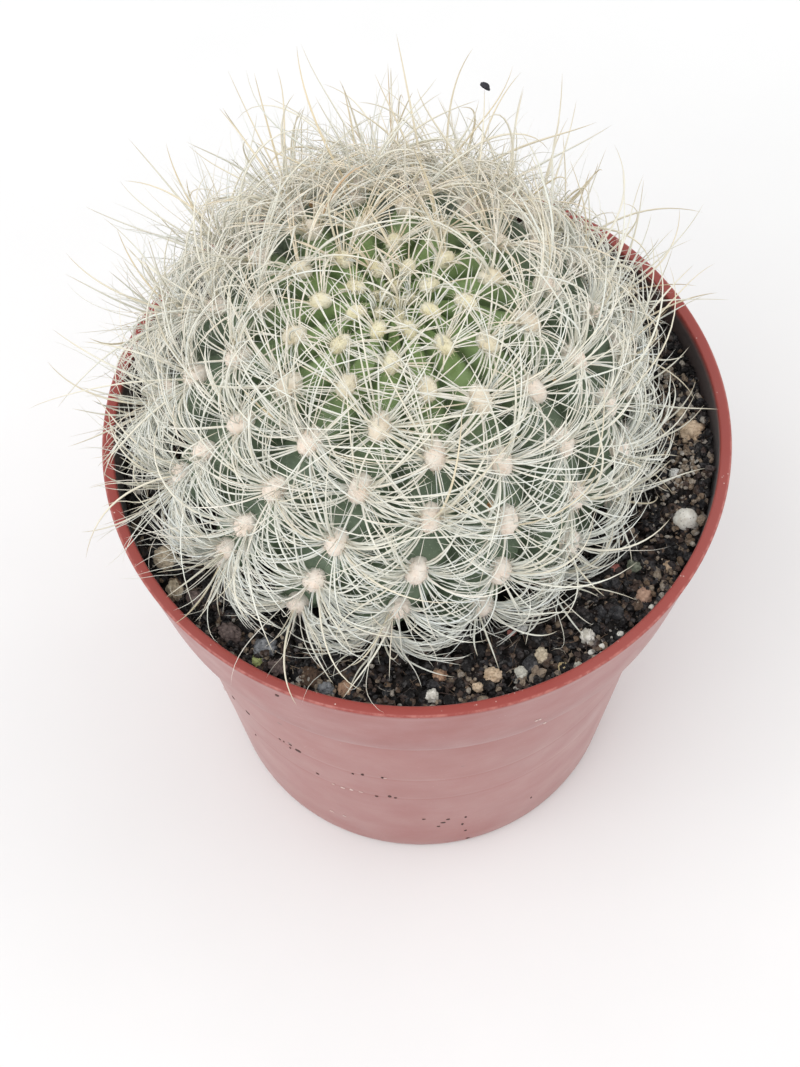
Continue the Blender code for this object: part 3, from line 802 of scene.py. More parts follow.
def arching_batch(draw):
    """Long pale spines from the upper pads that bend over the growing tip."""
    upper = np.flatnonzero((PAD_LATITUDE > 24) & (PAD_LATITUDE < 66))
    return even_batch(draw, draw.choice(upper, OVER_CROWN), ARCHING, ARCHING_SPREAD)


# Tips, in millimetres, of the loose spines that stand out furthest round the plant
FAR_TIPS = (
    (-59.4, 5.0, 112.8), (-54.5, 15.0, 128.3), (-57.9, 8.0, 117.4), (-51.5, -1.0, 127.0),
    (-54.6, -20.0, 100.5), (-54.0, -24.0, 98.5), (-46.0, 30.0, 126.7), (-39.4, 38.0, 126.0),
    (-24.4, 45.0, 134.4), (-17.1, 44.0, 141.9), (-10.1, 42.0, 134.0), (-1.3, 44.0, 144.0),
    (11.1, 46.0, 137.5), (19.3, 44.0, 129.3), (28.1, 44.0, 126.1), (34.1, 38.0, 121.8),
    (44.9, 30.0, 114.5), (48.6, 28.0, 115.6), (50.9, 18.0, 106.8), (46.6, 20.0, 112.3),
    (-20.2, -51.0, 98.5), (47.6, 0.0, 100.8), (-30.5, 42.0, 129.5), (-45.6, 20.0, 121.8),
    (20.0, 57.0, 118.0), (-14.0, 57.5, 116.0), (-39.5, -36.0, 98.4), (6.0, 2.0, 152.6),
    (-12.0, 10.0, 151.0), (12.6, 40.0, 134.6),
)
FAR_REACH = 0.019
FAR_WIDTH = 0.00040


def far_paths(draw):
    """Bent spines from a fitting pad to each far tip; a pad that already has one is less likely to get
    another.
    """
    paths = []
    used = np.zeros(PADS)
    share = np.linspace(0, 1, GROWTH_STEPS + 1)[:, None]
    for tip in np.array(FAR_TIPS) / 1000:
        between = tip - PAD_PLACE
        distance = np.linalg.norm(between, axis=1)
        facing = dot(unit(between), PAD_OUT)[:, 0]
        owner = np.argmin(np.abs(distance - FAR_REACH) / FAR_REACH - 0.5 * facing + 0.5 * used)
        used[owner] += 1
        foot = PAD_PLACE[owner]
        aside = unit(np.cross(between[owner], UP)) * draw.normal(0, 0.16)
        bend = foot + distance[owner] * (0.40 * PAD_OUT[owner] + 0.24 * unit(between[owner]) + aside)
        path = (1 - share) ** 2 * foot + 2 * share * (1 - share) * bend + share ** 2 * tip
        paths.append(np.clip(path, BOX_LOW, BOX_HIGH))
    return np.array(paths)


def build_spines():
    """Radial bristles, fine ones, haze hairs, and the longer spines of the centre."""
    draw = np.random.default_rng(SEED + 2)
    pale = spine_look(
        "pale_bristle",
        (0.78, 0.76, 0.67),
        0.42,
        (0.0, (0.80, 0.84, 0.83)),
        (0.4, (0.85, 0.86, 0.79)),
        (0.8, (0.94, 0.89, 0.80)),
        (1.0, (0.87, 0.76, 0.59)),
    )
    strong = spine_look(
        "ivory_central_spine",
        (0.52, 0.44, 0.30),
        0.38,
        (0.0, (0.82, 0.84, 0.78)),
        (0.5, (0.83, 0.79, 0.67)),
        (0.85, (0.76, 0.65, 0.45)),
        (1.0, (0.64, 0.44, 0.27)),
    )
    radial = radial_batch(draw)
    paths = grow(radial, draw)
    half = len(paths) // 2
    for name, part in (("radial_spines_upper", slice(0, half)), ("radial_spines_lower", slice(half, None))):
        add_spines(name, paths[part], radial["width"][part], radial["tone"][part], 4, 9, pale)
    fine = fine_batch(draw)
    add_spines("fine_bristles", grow(fine, draw, 0.2), fine["width"], fine["tone"], 3, 8, pale)
    haze = haze_batch(draw)
    add_spines("haze_hairs", grow(haze, draw, 0.5), haze["width"], haze["tone"], 3, 12, pale)
    central = central_batch(draw)
    arching = arching_batch(draw)
    paths = np.concatenate([grow(central, draw, 0.35), grow(arching, draw, 0.20), far_paths(draw)])
    widths = np.concatenate([central["width"], arching["width"], np.full(len(FAR_TIPS), FAR_WIDTH)])
    tones = np.concatenate([central["tone"], arching["tone"], draw.uniform(0.35, 0.85, len(FAR_TIPS))])
    add_spines("central_spines", paths, widths, tones, 5, 14, strong)


def build_fuzz(look):
    """Short curled hairs all over each pad, longer and whiter at its top."""
    draw = np.random.default_rng(SEED + 3)
    owner = np.repeat(np.arange(PADS), FUZZ_PER_PAD)
    total = len(owner)
    turn = draw.uniform(0, 2 * np.pi, total)
    height = draw.uniform(0.0, 1.0, total)
    flat = np.sqrt(1 - height ** 2)
    way = np.column_stack([flat * np.sin(turn), flat * np.cos(turn), height])
    half = np.array((PAD_WIDTH / 2, PAD_LENGTH / 2, PAD_HEIGHT)) * PAD_SWELL
    local = (way * 0.95 * half + (0, PAD_RISE, 0)) * pad_growth(PAD_LATITUDE[owner])[:, None]
    foot = PAD_PLACE[owner] + np.einsum("ni,nij->nj", local, PAD_AXES[owner])
    heading = unit(way + draw.normal(0, 0.40, way.shape) + (0, 0.15, 0.2))
    heading = np.einsum("ni,nij->nj", heading, PAD_AXES[owner])
    high = np.clip(way[:, 1] * 1.2 - 0.2, 0.0, 1.0)
    length = draw.uniform(*FUZZ_LENGTH, total) * (1 + 0.8 * high)
    steps = np.linspace(0, 1, 4)[None, :, None]
    curl = draw.normal(0, 0.30, heading.shape)[:, None] * steps ** 2
    paths = foot[:, None] + (heading[:, None] * steps + curl) * length[:, None, None]
    points, faces, _ = tubes(paths, np.full(total, FUZZ_WIDTH), 3, 3)
    per_hair = len(points) // total
    young = np.repeat(ease(PAD_LATITUDE[owner], 50, 75), per_hair)
    new_piece("felt_fuzz", points, faces, look, "felt", young=young, high=np.repeat(high, per_hair))


# Bits caught in the spines: place, length and width in mm, turn in degrees, dark and light colour
CAUGHT_BITS = {
    "seed_at_the_top": ((12.7, 40.2, 134.9), 2.0, 1.1, 42, (0.006, 0.006, 0.010), (0.035, 0.035, 0.045)),
    "dried_bit_front": ((10.6, -28.4, 119.8), 2.2, 1.1, -25, (0.20, 0.09, 0.03), (0.58, 0.36, 0.17)),
    "dried_bit_right": ((20.8, -10.2, 126.6), 2.0, 0.7, 35, (0.42, 0.26, 0.12), (0.72, 0.55, 0.34)),
    "dried_bit_back": ((-16.0, 30.5, 118.0), 2.2, 1.0, 15, (0.20, 0.09, 0.03), (0.55, 0.36, 0.18)),
}


def speck_look(name, dark, light):
    look = Look(name)
    blotches = look.grain(0.0004)
    colour = look.ramp(blotches, (0.35, dark), (0.65, light))
    return look.finish(colour, look.ramp(blotches, (0.3, 0.7), (0.7, 0.9)))


def build_caught_bits():
    """A dark seed and curled dry scraps, each caught in among the spines."""
    draw = np.random.default_rng(SEED + 17)
    ball, triangles = icosphere(3)
    for name, (place, length, width, turn, dark, light) in CAUGHT_BITS.items():
        shape = ball * (1 + 0.22 * noise_at(ball + draw.uniform(0, 60, 3), 0.7, 3))[:, None]
        shape = shape * (width / 2000, length / 2000, width / 2600)
        shape[:, 2] += 0.18 * width / 1000 * np.cos(4 * shape[:, 1] / (length / 1000))
        points = np.array(place) / 1000 + turned(shape, math.radians(turn))
        new_piece(name, points, triangles.tolist(), speck_look(name, dark, light), "bark")


# Pot

POT_SEGMENTS = 240
HOLE_POINTS = 24
HOLE_SHIFT = 0.0004
HOLE_INSET = 0.0006
# Share of the pale bloom low on the pot: dust, and painted sheen for the reflection on its side.
DUST_AND_SHEEN_SHARE = 0.18
# Heights and depths of the faint rings round the pot's side
RING_MARKS = ((0.0452, 0.00005), (0.0336, 0.00004))
RING_MARK_WIDTH = 0.0006
WAVE_SIZE = 0.030
WAVE_DEPTH = 0.00012
# Patches where the pale bloom of dust and painted sheen is rubbed off: degrees from the front towards +X, mm
# below the rim, width in mm
CLEAN_PATCHES = (
    (-6.6, 70.2, 4.0), (-5.4, 86.4, 5.0), (-24.0, 92.0, 4.0), (14.0, 92.5, 5.0), (0.0, 12.0, 16.0)
)
# Specks on the pot: degrees from the front towards +X, mm below the rim, size in mm
DIRT_SPECKS = (
    (-32.6, 50.6, 0.95), (-54.9, 51.8, 0.60), (-48.6, 50.2, 0.80), (-37.9, 50.4, 0.40), (-36.7, 50.2, 0.35),
    (-34.6, 49.6, 0.45), (-35.1, 51.9, 0.40), (-28.6, 60.1, 0.50), (-50.5, 65.2, 0.35), (-15.6, 50.3, 0.55),
    (-18.1, 51.3, 0.40), (-10.7, 50.0, 0.45), (-12.9, 62.9, 0.45), (-9.5, 61.6, 0.60), (-8.0, 62.2, 0.45),
    (-0.9, 76.1, 0.45), (3.2, 81.7, 0.50), (4.5, 79.3, 0.60), (5.8, 77.4, 0.55), (10.0, 82.5, 0.55),
    (10.7, 77.9, 0.50), (11.2, 87.7, 0.45), (12.2, 94.0, 0.50), (31.3, 82.9, 0.40), (-27.2, 4.1, 0.60),
)
PALE_SPECKS = (
    (-28.0, 84.1, 0.55), (-24.0, 83.6, 0.35), (-10.1, 50.2, 0.40), (-24.5, 62.8, 0.45), (-22.0, 62.9, 0.60),
    (-19.5, 62.4, 0.50), (-17.0, 62.2, 0.40), (21.3, 16.9, 0.45), (22.1, 17.2, 0.35), (23.7, 21.4, 0.40),
)
BACK_SPECKS = 34
SPECK_THICKNESS = 0.00005
POT_SHARP_ANGLE = 40


def plastic_colour(look, clouds, bands):
    """Brick red with a pale bloom, thickest low on the pot and rubbed off in patches; the bloom is partly
    dust and partly painted sheen, and painted shade darkens the foot of the band.
    """
    height = look.add("SeparateXYZ", {"Vector": look.place}, "Z")
    lower = look.fade(height, RIM_HEIGHT, RIM_HEIGHT - 0.045)
    # Painted shade: the red darkens along the foot of the band, where the step's ledge is shaded.
    painted_ledge_shade = look.fade(height, BAND_FOOT + 0.008, BAND_FOOT)
    painted_ledge_shade = look.times(painted_ledge_shade, look.fade(height, BAND_FOOT - 0.0014, BAND_FOOT))
    base = look.ramp(clouds, (0.3, (0.275, 0.035, 0.026)), (0.7, (0.305, 0.042, 0.032)))
    base = look.mix(painted_ledge_shade, base, (0.255, 0.030, 0.024))
    # Pale bloom: real dust, and painted sheen that stands for the reflection of the pale surroundings.
    dust_and_sheen = look.math("ADD", look.ramp(bands, (0.42, 0.00), (0.70, 0.05)), look.times(lower, DUST_AND_SHEEN_SHARE))
    kept = look.math("SUBTRACT", 1.0, look.times(look.attribute("clean"), 0.75))
    base = look.mix(look.times(dust_and_sheen, kept), base, (0.52, 0.365, 0.34))
    return base, look.ramp(lower, (0.004, 1.0), (0.05, 0.25))


def plastic_look():
    """Moulded plastic with its dust and painted sheen, a painted highlight on the lip's edge, thin scuffs,
    pale specks, a few dirt marks and an inside darkened by dirt and painted shade.
    """
    look = Look("pot_plastic")
    clouds = look.grain(0.030)
    bands = look.grain(0.035, 5, 0.6, place=look.stretched(1.0, 1.0, 6.0))
    base, near_rim = plastic_colour(look, clouds, bands)
    # Painted highlight: a paler red line along the lip's outer rounding, in patches.
    painted_lip_highlight = look.ramp(look.grain(0.0012), (0.40, 0.05), (0.62, 0.7))
    base = look.mix(look.times(look.attribute("edge"), painted_lip_highlight), base, (0.48, 0.17, 0.14))
    dust = look.ramp(look.cells(0.0011), (0.07, 1.0), (0.14, 0.0))
    some = look.times(look.ramp(look.grain(0.007), (0.50, 0.0), (0.62, 0.9)), near_rim)
    base = look.mix(look.times(dust, some), base, (0.78, 0.66, 0.60))
    dirt = look.ramp(look.cells(0.0075, place=look.stretched(1.0, 1.0, 1.6)), (0.055, 1.0), (0.085, 0.0))
    patchy = look.ramp(look.grain(0.018, 2), (0.60, 0.0), (0.68, 0.9))
    base = look.mix(look.times(dirt, patchy), base, (0.09, 0.035, 0.030))
    scuffs = look.grain(0.006, 6, 0.7, 0.3, look.stretched(0.5, 0.5, 9.0))
    base = look.over(base, (0.62, 0.42, 0.38), scuffs, (0.66, 0.0), (0.74, 0.35))
    # Dirt on the wall and painted shade: the inside under the rim goes almost black.
    darkened = look.times(look.attribute("inside"), look.ramp(clouds, (0.3, 0.88), (0.6, 0.98)))
    base = look.mix(darkened, base, (0.020, 0.012, 0.010))
    normal = look.bump(look.grain(0.0005), 0.00003, 0.5, look.bump(bands, 0.0003, 0.12))
    return look.finish(
        base,
        look.ramp(look.grain(0.010, 5), (0.3, 0.34), (0.7, 0.50)),
        IOR=1.5,
        Coat_Weight=0.12,
        Coat_Roughness=0.34,
        Sheen_Weight=0.16,
        Sheen_Roughness=0.5,
        Normal=normal,
    )


def arc(centre, radius, start, end, steps=5):
    """Points on a circle's arc in the profile's plane, angles in degrees."""
    angles = np.radians(np.linspace(start, end, steps))
    return [(centre[0] + radius * math.cos(a), centre[1] + radius * math.sin(a)) for a in angles]


def outer_radius(height):
    """Radius of the pot's outer face: the band's above its foot, the body's below it."""
    if height > BAND_FOOT:
        share = (height - BAND_FOOT) / BAND_HEIGHT
        return BAND_BOTTOM_RADIUS + share * (RIM_RADIUS - BAND_BOTTOM_RADIUS)
    return BASE_RADIUS + height / BAND_FOOT * (BODY_TOP_RADIUS - BASE_RADIUS)


def wall_inside(height):
    """Radius of the pot's inner face."""
    return outer_radius(height) - WALL


def side_heights():
    """Heights of the body's rings from the top down, closer at the ring marks."""
    heights = set(np.linspace(BASE_ROUNDING + 0.001, BAND_FOOT - 0.002, 26))
    for height, _ in RING_MARKS:
        heights |= {height + share * RING_MARK_WIDTH for share in (-1, -0.5, 0, 0.5, 1)}
    return sorted(heights, reverse=True)


def ring_mark(height):
    """How deep the ring marks go in at a height."""
    half = RING_MARK_WIDTH / 2
    return sum(depth * math.exp(-(((height - at) / half) ** 2)) for at, depth in RING_MARKS)


def pot_profile():
    """Radius and height from the middle of the inside, over the lip and down to the base's middle."""
    r = LIP_ROUNDING
    inner_lip = RIM_RADIUS - LIP_THICKNESS
    holes_end = DRAIN_CIRCLE + DRAIN_RADIUS
    corner = wall_inside(FLOOR) - INNER_ROUNDING
    inside = [(radius, FLOOR) for radius in np.linspace(holes_end, corner, 4)]
    inside += arc((corner, FLOOR + INNER_ROUNDING), INNER_ROUNDING, -90, -8, 4)
    body_heights = np.linspace(0.006, BAND_FOOT - BAND_STEP, 14)
    band_heights = np.linspace(BAND_FOOT + r, RIM_HEIGHT - LIP_FOOT, 7)
    inside += [(wall_inside(height), height) for height in (*body_heights, *band_heights)]
    inside += [(inner_lip, RIM_HEIGHT - LIP_DEPTH), (inner_lip, RIM_HEIGHT - 0.5 * LIP_DEPTH)]
    inside += arc((inner_lip + r, RIM_HEIGHT - r), r, 180, 90)
    outside = arc((RIM_RADIUS - r, RIM_HEIGHT - r), r, 90, 0)
    for height in BAND_FOOT + np.linspace(0.92, 0.08, 12) * BAND_HEIGHT:
        outside.append((outer_radius(height), height))
    outside += arc((BAND_BOTTOM_RADIUS - r, BAND_FOOT + r), r, 0, -90, 4)
    outside += arc((BODY_TOP_RADIUS + r, BAND_FOOT - r), r, 90, 180, 4)
    outside += [(outer_radius(height) - ring_mark(height), height) for height in side_heights()]
    outside += arc((BASE_RADIUS - BASE_ROUNDING, BASE_ROUNDING), BASE_ROUNDING, 0, -90, 5)
    outside += [(radius, 0.0) for radius in np.linspace(BASE_RADIUS - 0.004, holes_end, 3)]
    return inside, outside


def on_pot(angle, below):
    """A point on the pot's outer face, and the direction out of it."""
    height = RIM_HEIGHT - below / 1000
    outward = from_front(math.radians(angle))
    return outward * outer_radius(height) + UP * height, outward


def clean_patches(points):
    """How much each point lies in a rubbed patch, 0 to 1."""
    clean = np.zeros(len(points))
    for angle, below, width in CLEAN_PATCHES:
        distance = np.linalg.norm(points - on_pot(angle, below)[0], axis=1)
        clean = np.maximum(clean, np.exp(-((distance / (width / 1000)) ** 2)))
    return clean


def build_pot():
    """A turned shell with a faint waviness; its floor has six drainage holes."""
    inside, outside = pot_profile()
    profile = inside + outside
    circle = circle_of(POT_SEGMENTS)
    points = np.concatenate([at_height(circle * radius, height) for radius, height in profile])
    wave = WAVE_DEPTH * (0.5 + 0.5 * noise_at(points, WAVE_SIZE, 2))
    free = (points[:, 2] > BASE_ROUNDING) & (points[:, 2] < RIM_HEIGHT - LIP_ROUNDING * 1.5)
    points[:, :2] *= (1 - np.where(free, wave, 0.0) / np.hypot(points[:, 0], points[:, 1]))[:, None]
    faces = [face[::-1] for face in lattice_faces(len(profile), POT_SEGMENTS)]
    ring = np.repeat(np.arange(len(profile)), POT_SEGMENTS) - len(inside)
    shell = new_piece(
        "pot_shell",
        points,
        faces,
        plastic_look(),
        "pot_plastic",
        ["pot"],
        # The inside under the rim, which takes dirt and painted shade
        inside=np.where(ring < 0, ease(points[:, 2], RIM_HEIGHT - 0.0006, RIM_HEIGHT - 0.0018), 0.0),
        # The lip's outer rounding, where the painted highlight goes
        edge=(ring >= 1) & (ring <= 3),
        clean=clean_patches(points),
    )
    fill_base(shell, len(profile))


def hole_circle(bm, hole, height):
    """A ring of new points for one drainage hole, with its edges."""
    turn = 2 * math.pi * hole / DRAIN_HOLES
    from_axis = DRAIN_CIRCLE - HOLE_SHIFT
    centre = Vector((from_axis * math.cos(turn), from_axis * math.sin(turn), height))
    circle = []
    for step in range(HOLE_POINTS):
        angle = 2 * math.pi * step / HOLE_POINTS
        offset = Vector((math.cos(angle), math.sin(angle), 0.0)) * (DRAIN_RADIUS - HOLE_INSET)
        circle.append(bm.verts.new(centre + offset))
    return circle, [bm.edges.new(pair) for pair in zip(circle, circle[1:] + circle[:1])]


def fill_base(shell, rings):
    """Close the floor inside and the base outside, with the drainage holes left open between them."""
    bm = bmesh.new()
    bm.from_mesh(shell.data)
    circles = []
    for ring, height in ((0, FLOOR), (rings - 1, 0.0)):
        bm.verts.ensure_lookup_table()
        border = bm.verts[ring * POT_SEGMENTS : (ring + 1) * POT_SEGMENTS]
        edges = [bm.edges.get(pair) or bm.edges.new(pair) for pair in zip(border, border[1:] + border[:1])]
        for hole in range(DRAIN_HOLES):
            circle, circle_edges = hole_circle(bm, hole, height)
            circles.append(circle)
            edges += circle_edges
        bmesh.ops.triangle_fill(bm, use_beauty=True, use_dissolve=False, edges=edges)
    for top, bottom in zip(circles[:DRAIN_HOLES], circles[DRAIN_HOLES:]):
        for step in range(HOLE_POINTS):
            following = (step + 1) % HOLE_POINTS
            bm.faces.new((top[step], top[following], bottom[following], bottom[step]))
    bmesh.ops.recalc_face_normals(bm, faces=bm.faces)
    for face in bm.faces:
        face.smooth = True
    bm.to_mesh(shell.data)
    bm.free()
    shell.data.set_sharp_from_angle(angle=math.radians(POT_SHARP_ANGLE))


def build_specks():
    """Thin flecks of dried dirt and pale scuffs on the pot's side; the back has its own."""
    draw = np.random.default_rng(SEED + 13)
    dirty = list(DIRT_SPECKS)
    pale = list(PALE_SPECKS)
    for number in range(BACK_SPECKS):
        angle = draw.uniform(60, 300)
        below = draw.choice((50.5, 62.5, draw.uniform(6, 94)))
        (pale if number % 3 == 0 else dirty).append((angle, below, draw.uniform(0.3, 0.8)))
    ball, triangles = icosphere(2)
    dried = speck_look("dried_dirt", (0.035, 0.016, 0.014), (0.13, 0.060, 0.052))
    scuff = speck_look("pale_scuff", (0.58, 0.40, 0.36), (0.78, 0.66, 0.62))
    kinds = (("dirt_specks", dirty, dried, 1.0), ("scuff_specks", pale, scuff, 1.5))
    for name, specks, look, stretch in kinds:
        shapes = []
        for angle, below, size in specks:
            place, outward = on_pot(angle, below)
            long = draw.uniform(0.8, 1.5) * stretch
            shape = ball * (1 + 0.35 * noise_at(ball + draw.uniform(0, 60, 3), 0.8, 2))[:, None]
            shape = shape * (long * size / 1800, size / long / 1150, SPECK_THICKNESS)
            shapes.append(place + shape @ np.stack([np.cross(UP, outward), UP, outward]))
        points, faces = merge(shapes, triangles)
        new_piece(name, points, faces, look, "pot_plastic")


# Soil

SOIL_SEGMENTS = 560
SOIL_RINGS = 66
CRUMB_SIZES = (0.0021, 0.0011)
CRUMB_HEIGHTS = (0.0008, 0.0005)
CRUMB_STEEPNESS = 1.5
PLAIN_SOIL = 0.3
# How far outside the root end the pit's top ring and the surface's first ring lie
PIT_GAP = 0.0006
SURFACE_GAP = 0.0016
# Heights of the soil's sides inside the pot, and their distance from the pot's wall
SOIL_SIDES = (
    (SOIL_LEVEL - 0.004, 0.0005),
    (BAND_FOOT + 0.0006, 0.0005),
    (BAND_FOOT - BAND_STEP, 0.0006),
    (0.05, 0.0006),
    (0.03, 0.0006),
    (FLOOR + FIT_GAP, 0.0006),
)


def soil_lumps(points):
    """Height of the soil's surface above its mean level, as in the part."""
    coarse = noise_at(at_height(points), SOIL_LUMP_SIZE, 1)
    fine = noise_at(at_height(points, SOIL_LUMP_SIZE), 0.5 * SOIL_LUMP_SIZE, 1)
    flat = points[:, :2]
    near_plant = np.clip((DIP_RADIUS - np.hypot(*(flat - PLANT[:2]).T)) / DIP_WIDTH, 0.0, 1.0)
    near_wall = np.clip((np.hypot(*flat.T) - WALL_DIP_RADIUS) / WALL_DIP_WIDTH, 0.0, 1.0)
    from_heap = np.hypot(*(flat - HEAP).T)
    heap = HEAP_HEIGHT * np.clip(1 - (from_heap / HEAP_WIDTH) ** 2, 0.0, 1.0) ** 2
    lump = (SOIL_LUMP * (coarse + 0.5 * fine) + heap) * (1 - near_plant)
    return lump - SOIL_DIP_BY_PLANT * near_plant - SOIL_DIP_BY_WALL * near_wall


def soil_surface(points):
    """Height of the crumbly surface, and how high and what tone each crumb is."""
    lifted = at_height(points, 0.5)
    coarse, coarse_tone = cell_noise(lifted, CRUMB_SIZES[0], CRUMB_STEEPNESS)
    fine, fine_tone = cell_noise(lifted, CRUMB_SIZES[1], CRUMB_STEEPNESS)
    height = SOIL_LEVEL + soil_lumps(points) + CRUMB_HEIGHTS[0] * (coarse - 0.7) * coarse_tone
    height = height + CRUMB_HEIGHTS[1] * (fine - 0.6)
    return height, 0.6 * coarse + 0.4 * fine, 0.45 * coarse_tone + 0.55 * fine_tone


def on_soil(points, gap=0.0):
    """The points moved onto the soil's surface, and in from the wall by a gap at least."""
    limit = (wall_inside(SOIL_LEVEL) - gap) / np.hypot(points[:, 0], points[:, 1])
    flat = points[:, :2] * np.minimum(1.0, limit)[:, None]
    return np.column_stack([flat, soil_surface(flat)[0]])


def soil_look():
    """Almost black peat: crumbs in dark browns with a painted cool sheen, painted shade that turns the
    creases black, pale fibres.
    """
    look = Look("dark_soil")
    crest = look.attribute("crest")
    fine = look.grain(0.0004, 6, 0.7)
    colour = look.ramp(
        look.attribute("tone"),
        (0.0, (0.005, 0.004, 0.004)),
        (0.42, (0.012, 0.010, 0.009)),
        (0.58, (0.042, 0.031, 0.028)),
        (0.70, (0.056, 0.054, 0.058)),
        (0.80, (0.095, 0.062, 0.048)),
        (0.92, (0.24, 0.19, 0.14)),
    )
    grit = look.ramp(look.cells(0.0007), (0.12, 1.0), (0.22, 0.0))
    some = look.ramp(look.grain(0.005), (0.48, 0.0), (0.58, 0.9))
    colour = look.mix(look.times(grit, some), colour, (0.44, 0.40, 0.35))
    # Painted sheen: grey patches over the dark crumbs.
    colour = look.over(colour, (0.13, 0.125, 0.13), fine, (0.58, 0.0), (0.70, 0.45))
    # Painted shade: the creases between the crumbs go black.
    colour = look.over(colour, (0.003, 0.003, 0.003), crest, (0.22, 0.92), (0.55, 0.0))
    gleam = look.ramp(crest, (0.35, 0.02), (0.85, 0.35))
    shine = look.ramp(fine, (0.3, 0.45), (0.7, 0.9))
    return look.finish(colour, shine, Specular_IOR_Level=gleam, Normal=look.bump(fine, 0.0004, 0.9))


def build_soil():
    """The top surface, the pit round the root end, and the sides and bottom inside the pot."""
    circle = circle_of(SOIL_SEGMENTS)
    pit = [(radius + ROOT_GAP, SOIL_LEVEL - depth - ROOT_GAP) for radius, depth in ROOT_ROWS[:0:-1]]
    pit.append((ROOT_ROWS[0][0] + PIT_GAP, SOIL_LEVEL - ROOT_ROWS[0][1]))
    pit = [at_height(PLANT[:2] + circle * radius, height) for radius, height in pit]
    mouth = ROOT_ROWS[0][0] + SURFACE_GAP
    edge = wall_inside(SOIL_LEVEL) - FIT_GAP
    share = (np.arange(SOIL_RINGS) / (SOIL_RINGS - 1))[:, None, None]
    flat = (PLANT[:2] * (1 - share) + circle * (mouth + (edge - mouth) * share)).reshape(-1, 2)
    height, crest, tone = soil_surface(flat)
    sides = [at_height(circle * (wall_inside(level) - gap), level) for level, gap in SOIL_SIDES]
    ends = [(PLANT[0], PLANT[1], SOIL_LEVEL - ROOT_TIP_DEPTH - ROOT_GAP), (0.0, 0.0, FLOOR + FIT_GAP)]
    points = np.concatenate([*pit, np.column_stack([flat, height]), *sides, ends])
    rings = len(points) // SOIL_SEGMENTS
    faces = lattice_faces(rings, SOIL_SEGMENTS)
    last = (rings - 1) * SOIL_SEGMENTS
    for index in range(SOIL_SEGMENTS):
        following = (index + 1) % SOIL_SEGMENTS
        faces.append((len(points) - 2, following, index))
        faces.append((len(points) - 1, last + index, last + following))
    before = len(pit) * SOIL_SEGMENTS
    padding = (before, len(points) - before - len(flat))
    crest = np.pad(crest, padding, constant_values=PLAIN_SOIL)
    tone = np.pad(tone, padding, constant_values=PLAIN_SOIL)
    piece = new_piece("soil_surface", points, faces, soil_look(), "soil", ["soil"], crest=crest, tone=tone)
    bm = bmesh.new()
    bm.from_mesh(piece.data)
    bmesh.ops.recalc_face_normals(bm, faces=bm.faces)
    bm.to_mesh(piece.data)
    bm.free()


# Loose crumbs, grit and fibres

CRUMBS = 2500
CLODS = 420
PALE_BITS = 330
FIBRES = 460
FIBRE_STEPS = 6
CHIP_SHARP_ANGLE = 35
WALL_GAP = 0.0012
CRUMB_EDGE = wall_inside(SOIL_LEVEL) - WALL_GAP
# Patches of pale grit: degrees from the front towards +X, distance from the axis, spread, bits, tones
GRIT_PATCHES = (
    (98, 0.0462, 0.0022, 16, 0.92, 1.00), (80, 0.0472, 0.0016, 12, 0.92, 1.00),
    (55, 0.0475, 0.0020, 10, 0.84, 0.98), (37, 0.0476, 0.0020, 16, 0.90, 1.00),
    (21, 0.0468, 0.0014, 8, 0.88, 0.97), (10, 0.0468, 0.0020, 14, 0.82, 0.96),
    (1, 0.0478, 0.0014, 8, 0.86, 1.00), (-24, 0.0470, 0.0016, 8, 0.90, 1.00),
    (-36, 0.0468, 0.0018, 10, 0.60, 0.92), (-58, 0.0470, 0.0020, 8, 0.78, 0.92),
    (135, 0.0470, 0.0022, 12, 0.84, 1.00), (180, 0.0468, 0.0022, 12, 0.82, 1.00),
    (-120, 0.0470, 0.0022, 12, 0.84, 1.00),
)
# Crusts of small white and grey flakes, given the same way
FROST_PATCHES = (
    (77, 0.0436, 0.0013, 30, 0.86, 1.00), (81, 0.0462, 0.0013, 30, 0.88, 1.00),
    (84, 0.0476, 0.0010, 20, 0.86, 1.00), (88, 0.0480, 0.0016, 44, 0.82, 1.00),
    (102, 0.0478, 0.0016, 44, 0.82, 1.00), (106, 0.0462, 0.0012, 34, 0.86, 1.00),
    (94, 0.0434, 0.0015, 34, 0.84, 1.00), (68, 0.0430, 0.0016, 24, 0.38, 0.60),
    (74, 0.0480, 0.0026, 40, 0.78, 1.00), (64, 0.0478, 0.0026, 34, 0.70, 0.98),
    (98, 0.0450, 0.0028, 44, 0.80, 1.00), (84, 0.0462, 0.0030, 54, 0.84, 1.00),
    (110, 0.0466, 0.0030, 54, 0.80, 1.00), (70, 0.0462, 0.0028, 40, 0.80, 1.00),
    (87, 0.0440, 0.0030, 34, 0.45, 0.95), (52, 0.0468, 0.0022, 26, 0.42, 0.85),
    (18, 0.0430, 0.0022, 26, 0.42, 0.80), (-10, 0.0452, 0.0024, 30, 0.42, 0.80),
    (-48, 0.0440, 0.0024, 30, 0.42, 0.80), (58, 0.0460, 0.0016, 24, 0.38, 0.95),
    (43, 0.0440, 0.0016, 30, 0.38, 0.60), (-35, 0.0448, 0.0016, 50, 0.40, 1.00),
    (-31, 0.0462, 0.0016, 24, 0.38, 0.70), (-24, 0.0462, 0.0014, 20, 0.80, 1.00),
    (-19, 0.0470, 0.0010, 20, 0.70, 1.00), (120, 0.0470, 0.0018, 30, 0.40, 1.00),
    (170, 0.0460, 0.0018, 30, 0.40, 1.00), (-150, 0.0465, 0.0018, 30, 0.40, 1.00),
    (-100, 0.0470, 0.0018, 30, 0.40, 1.00),
)
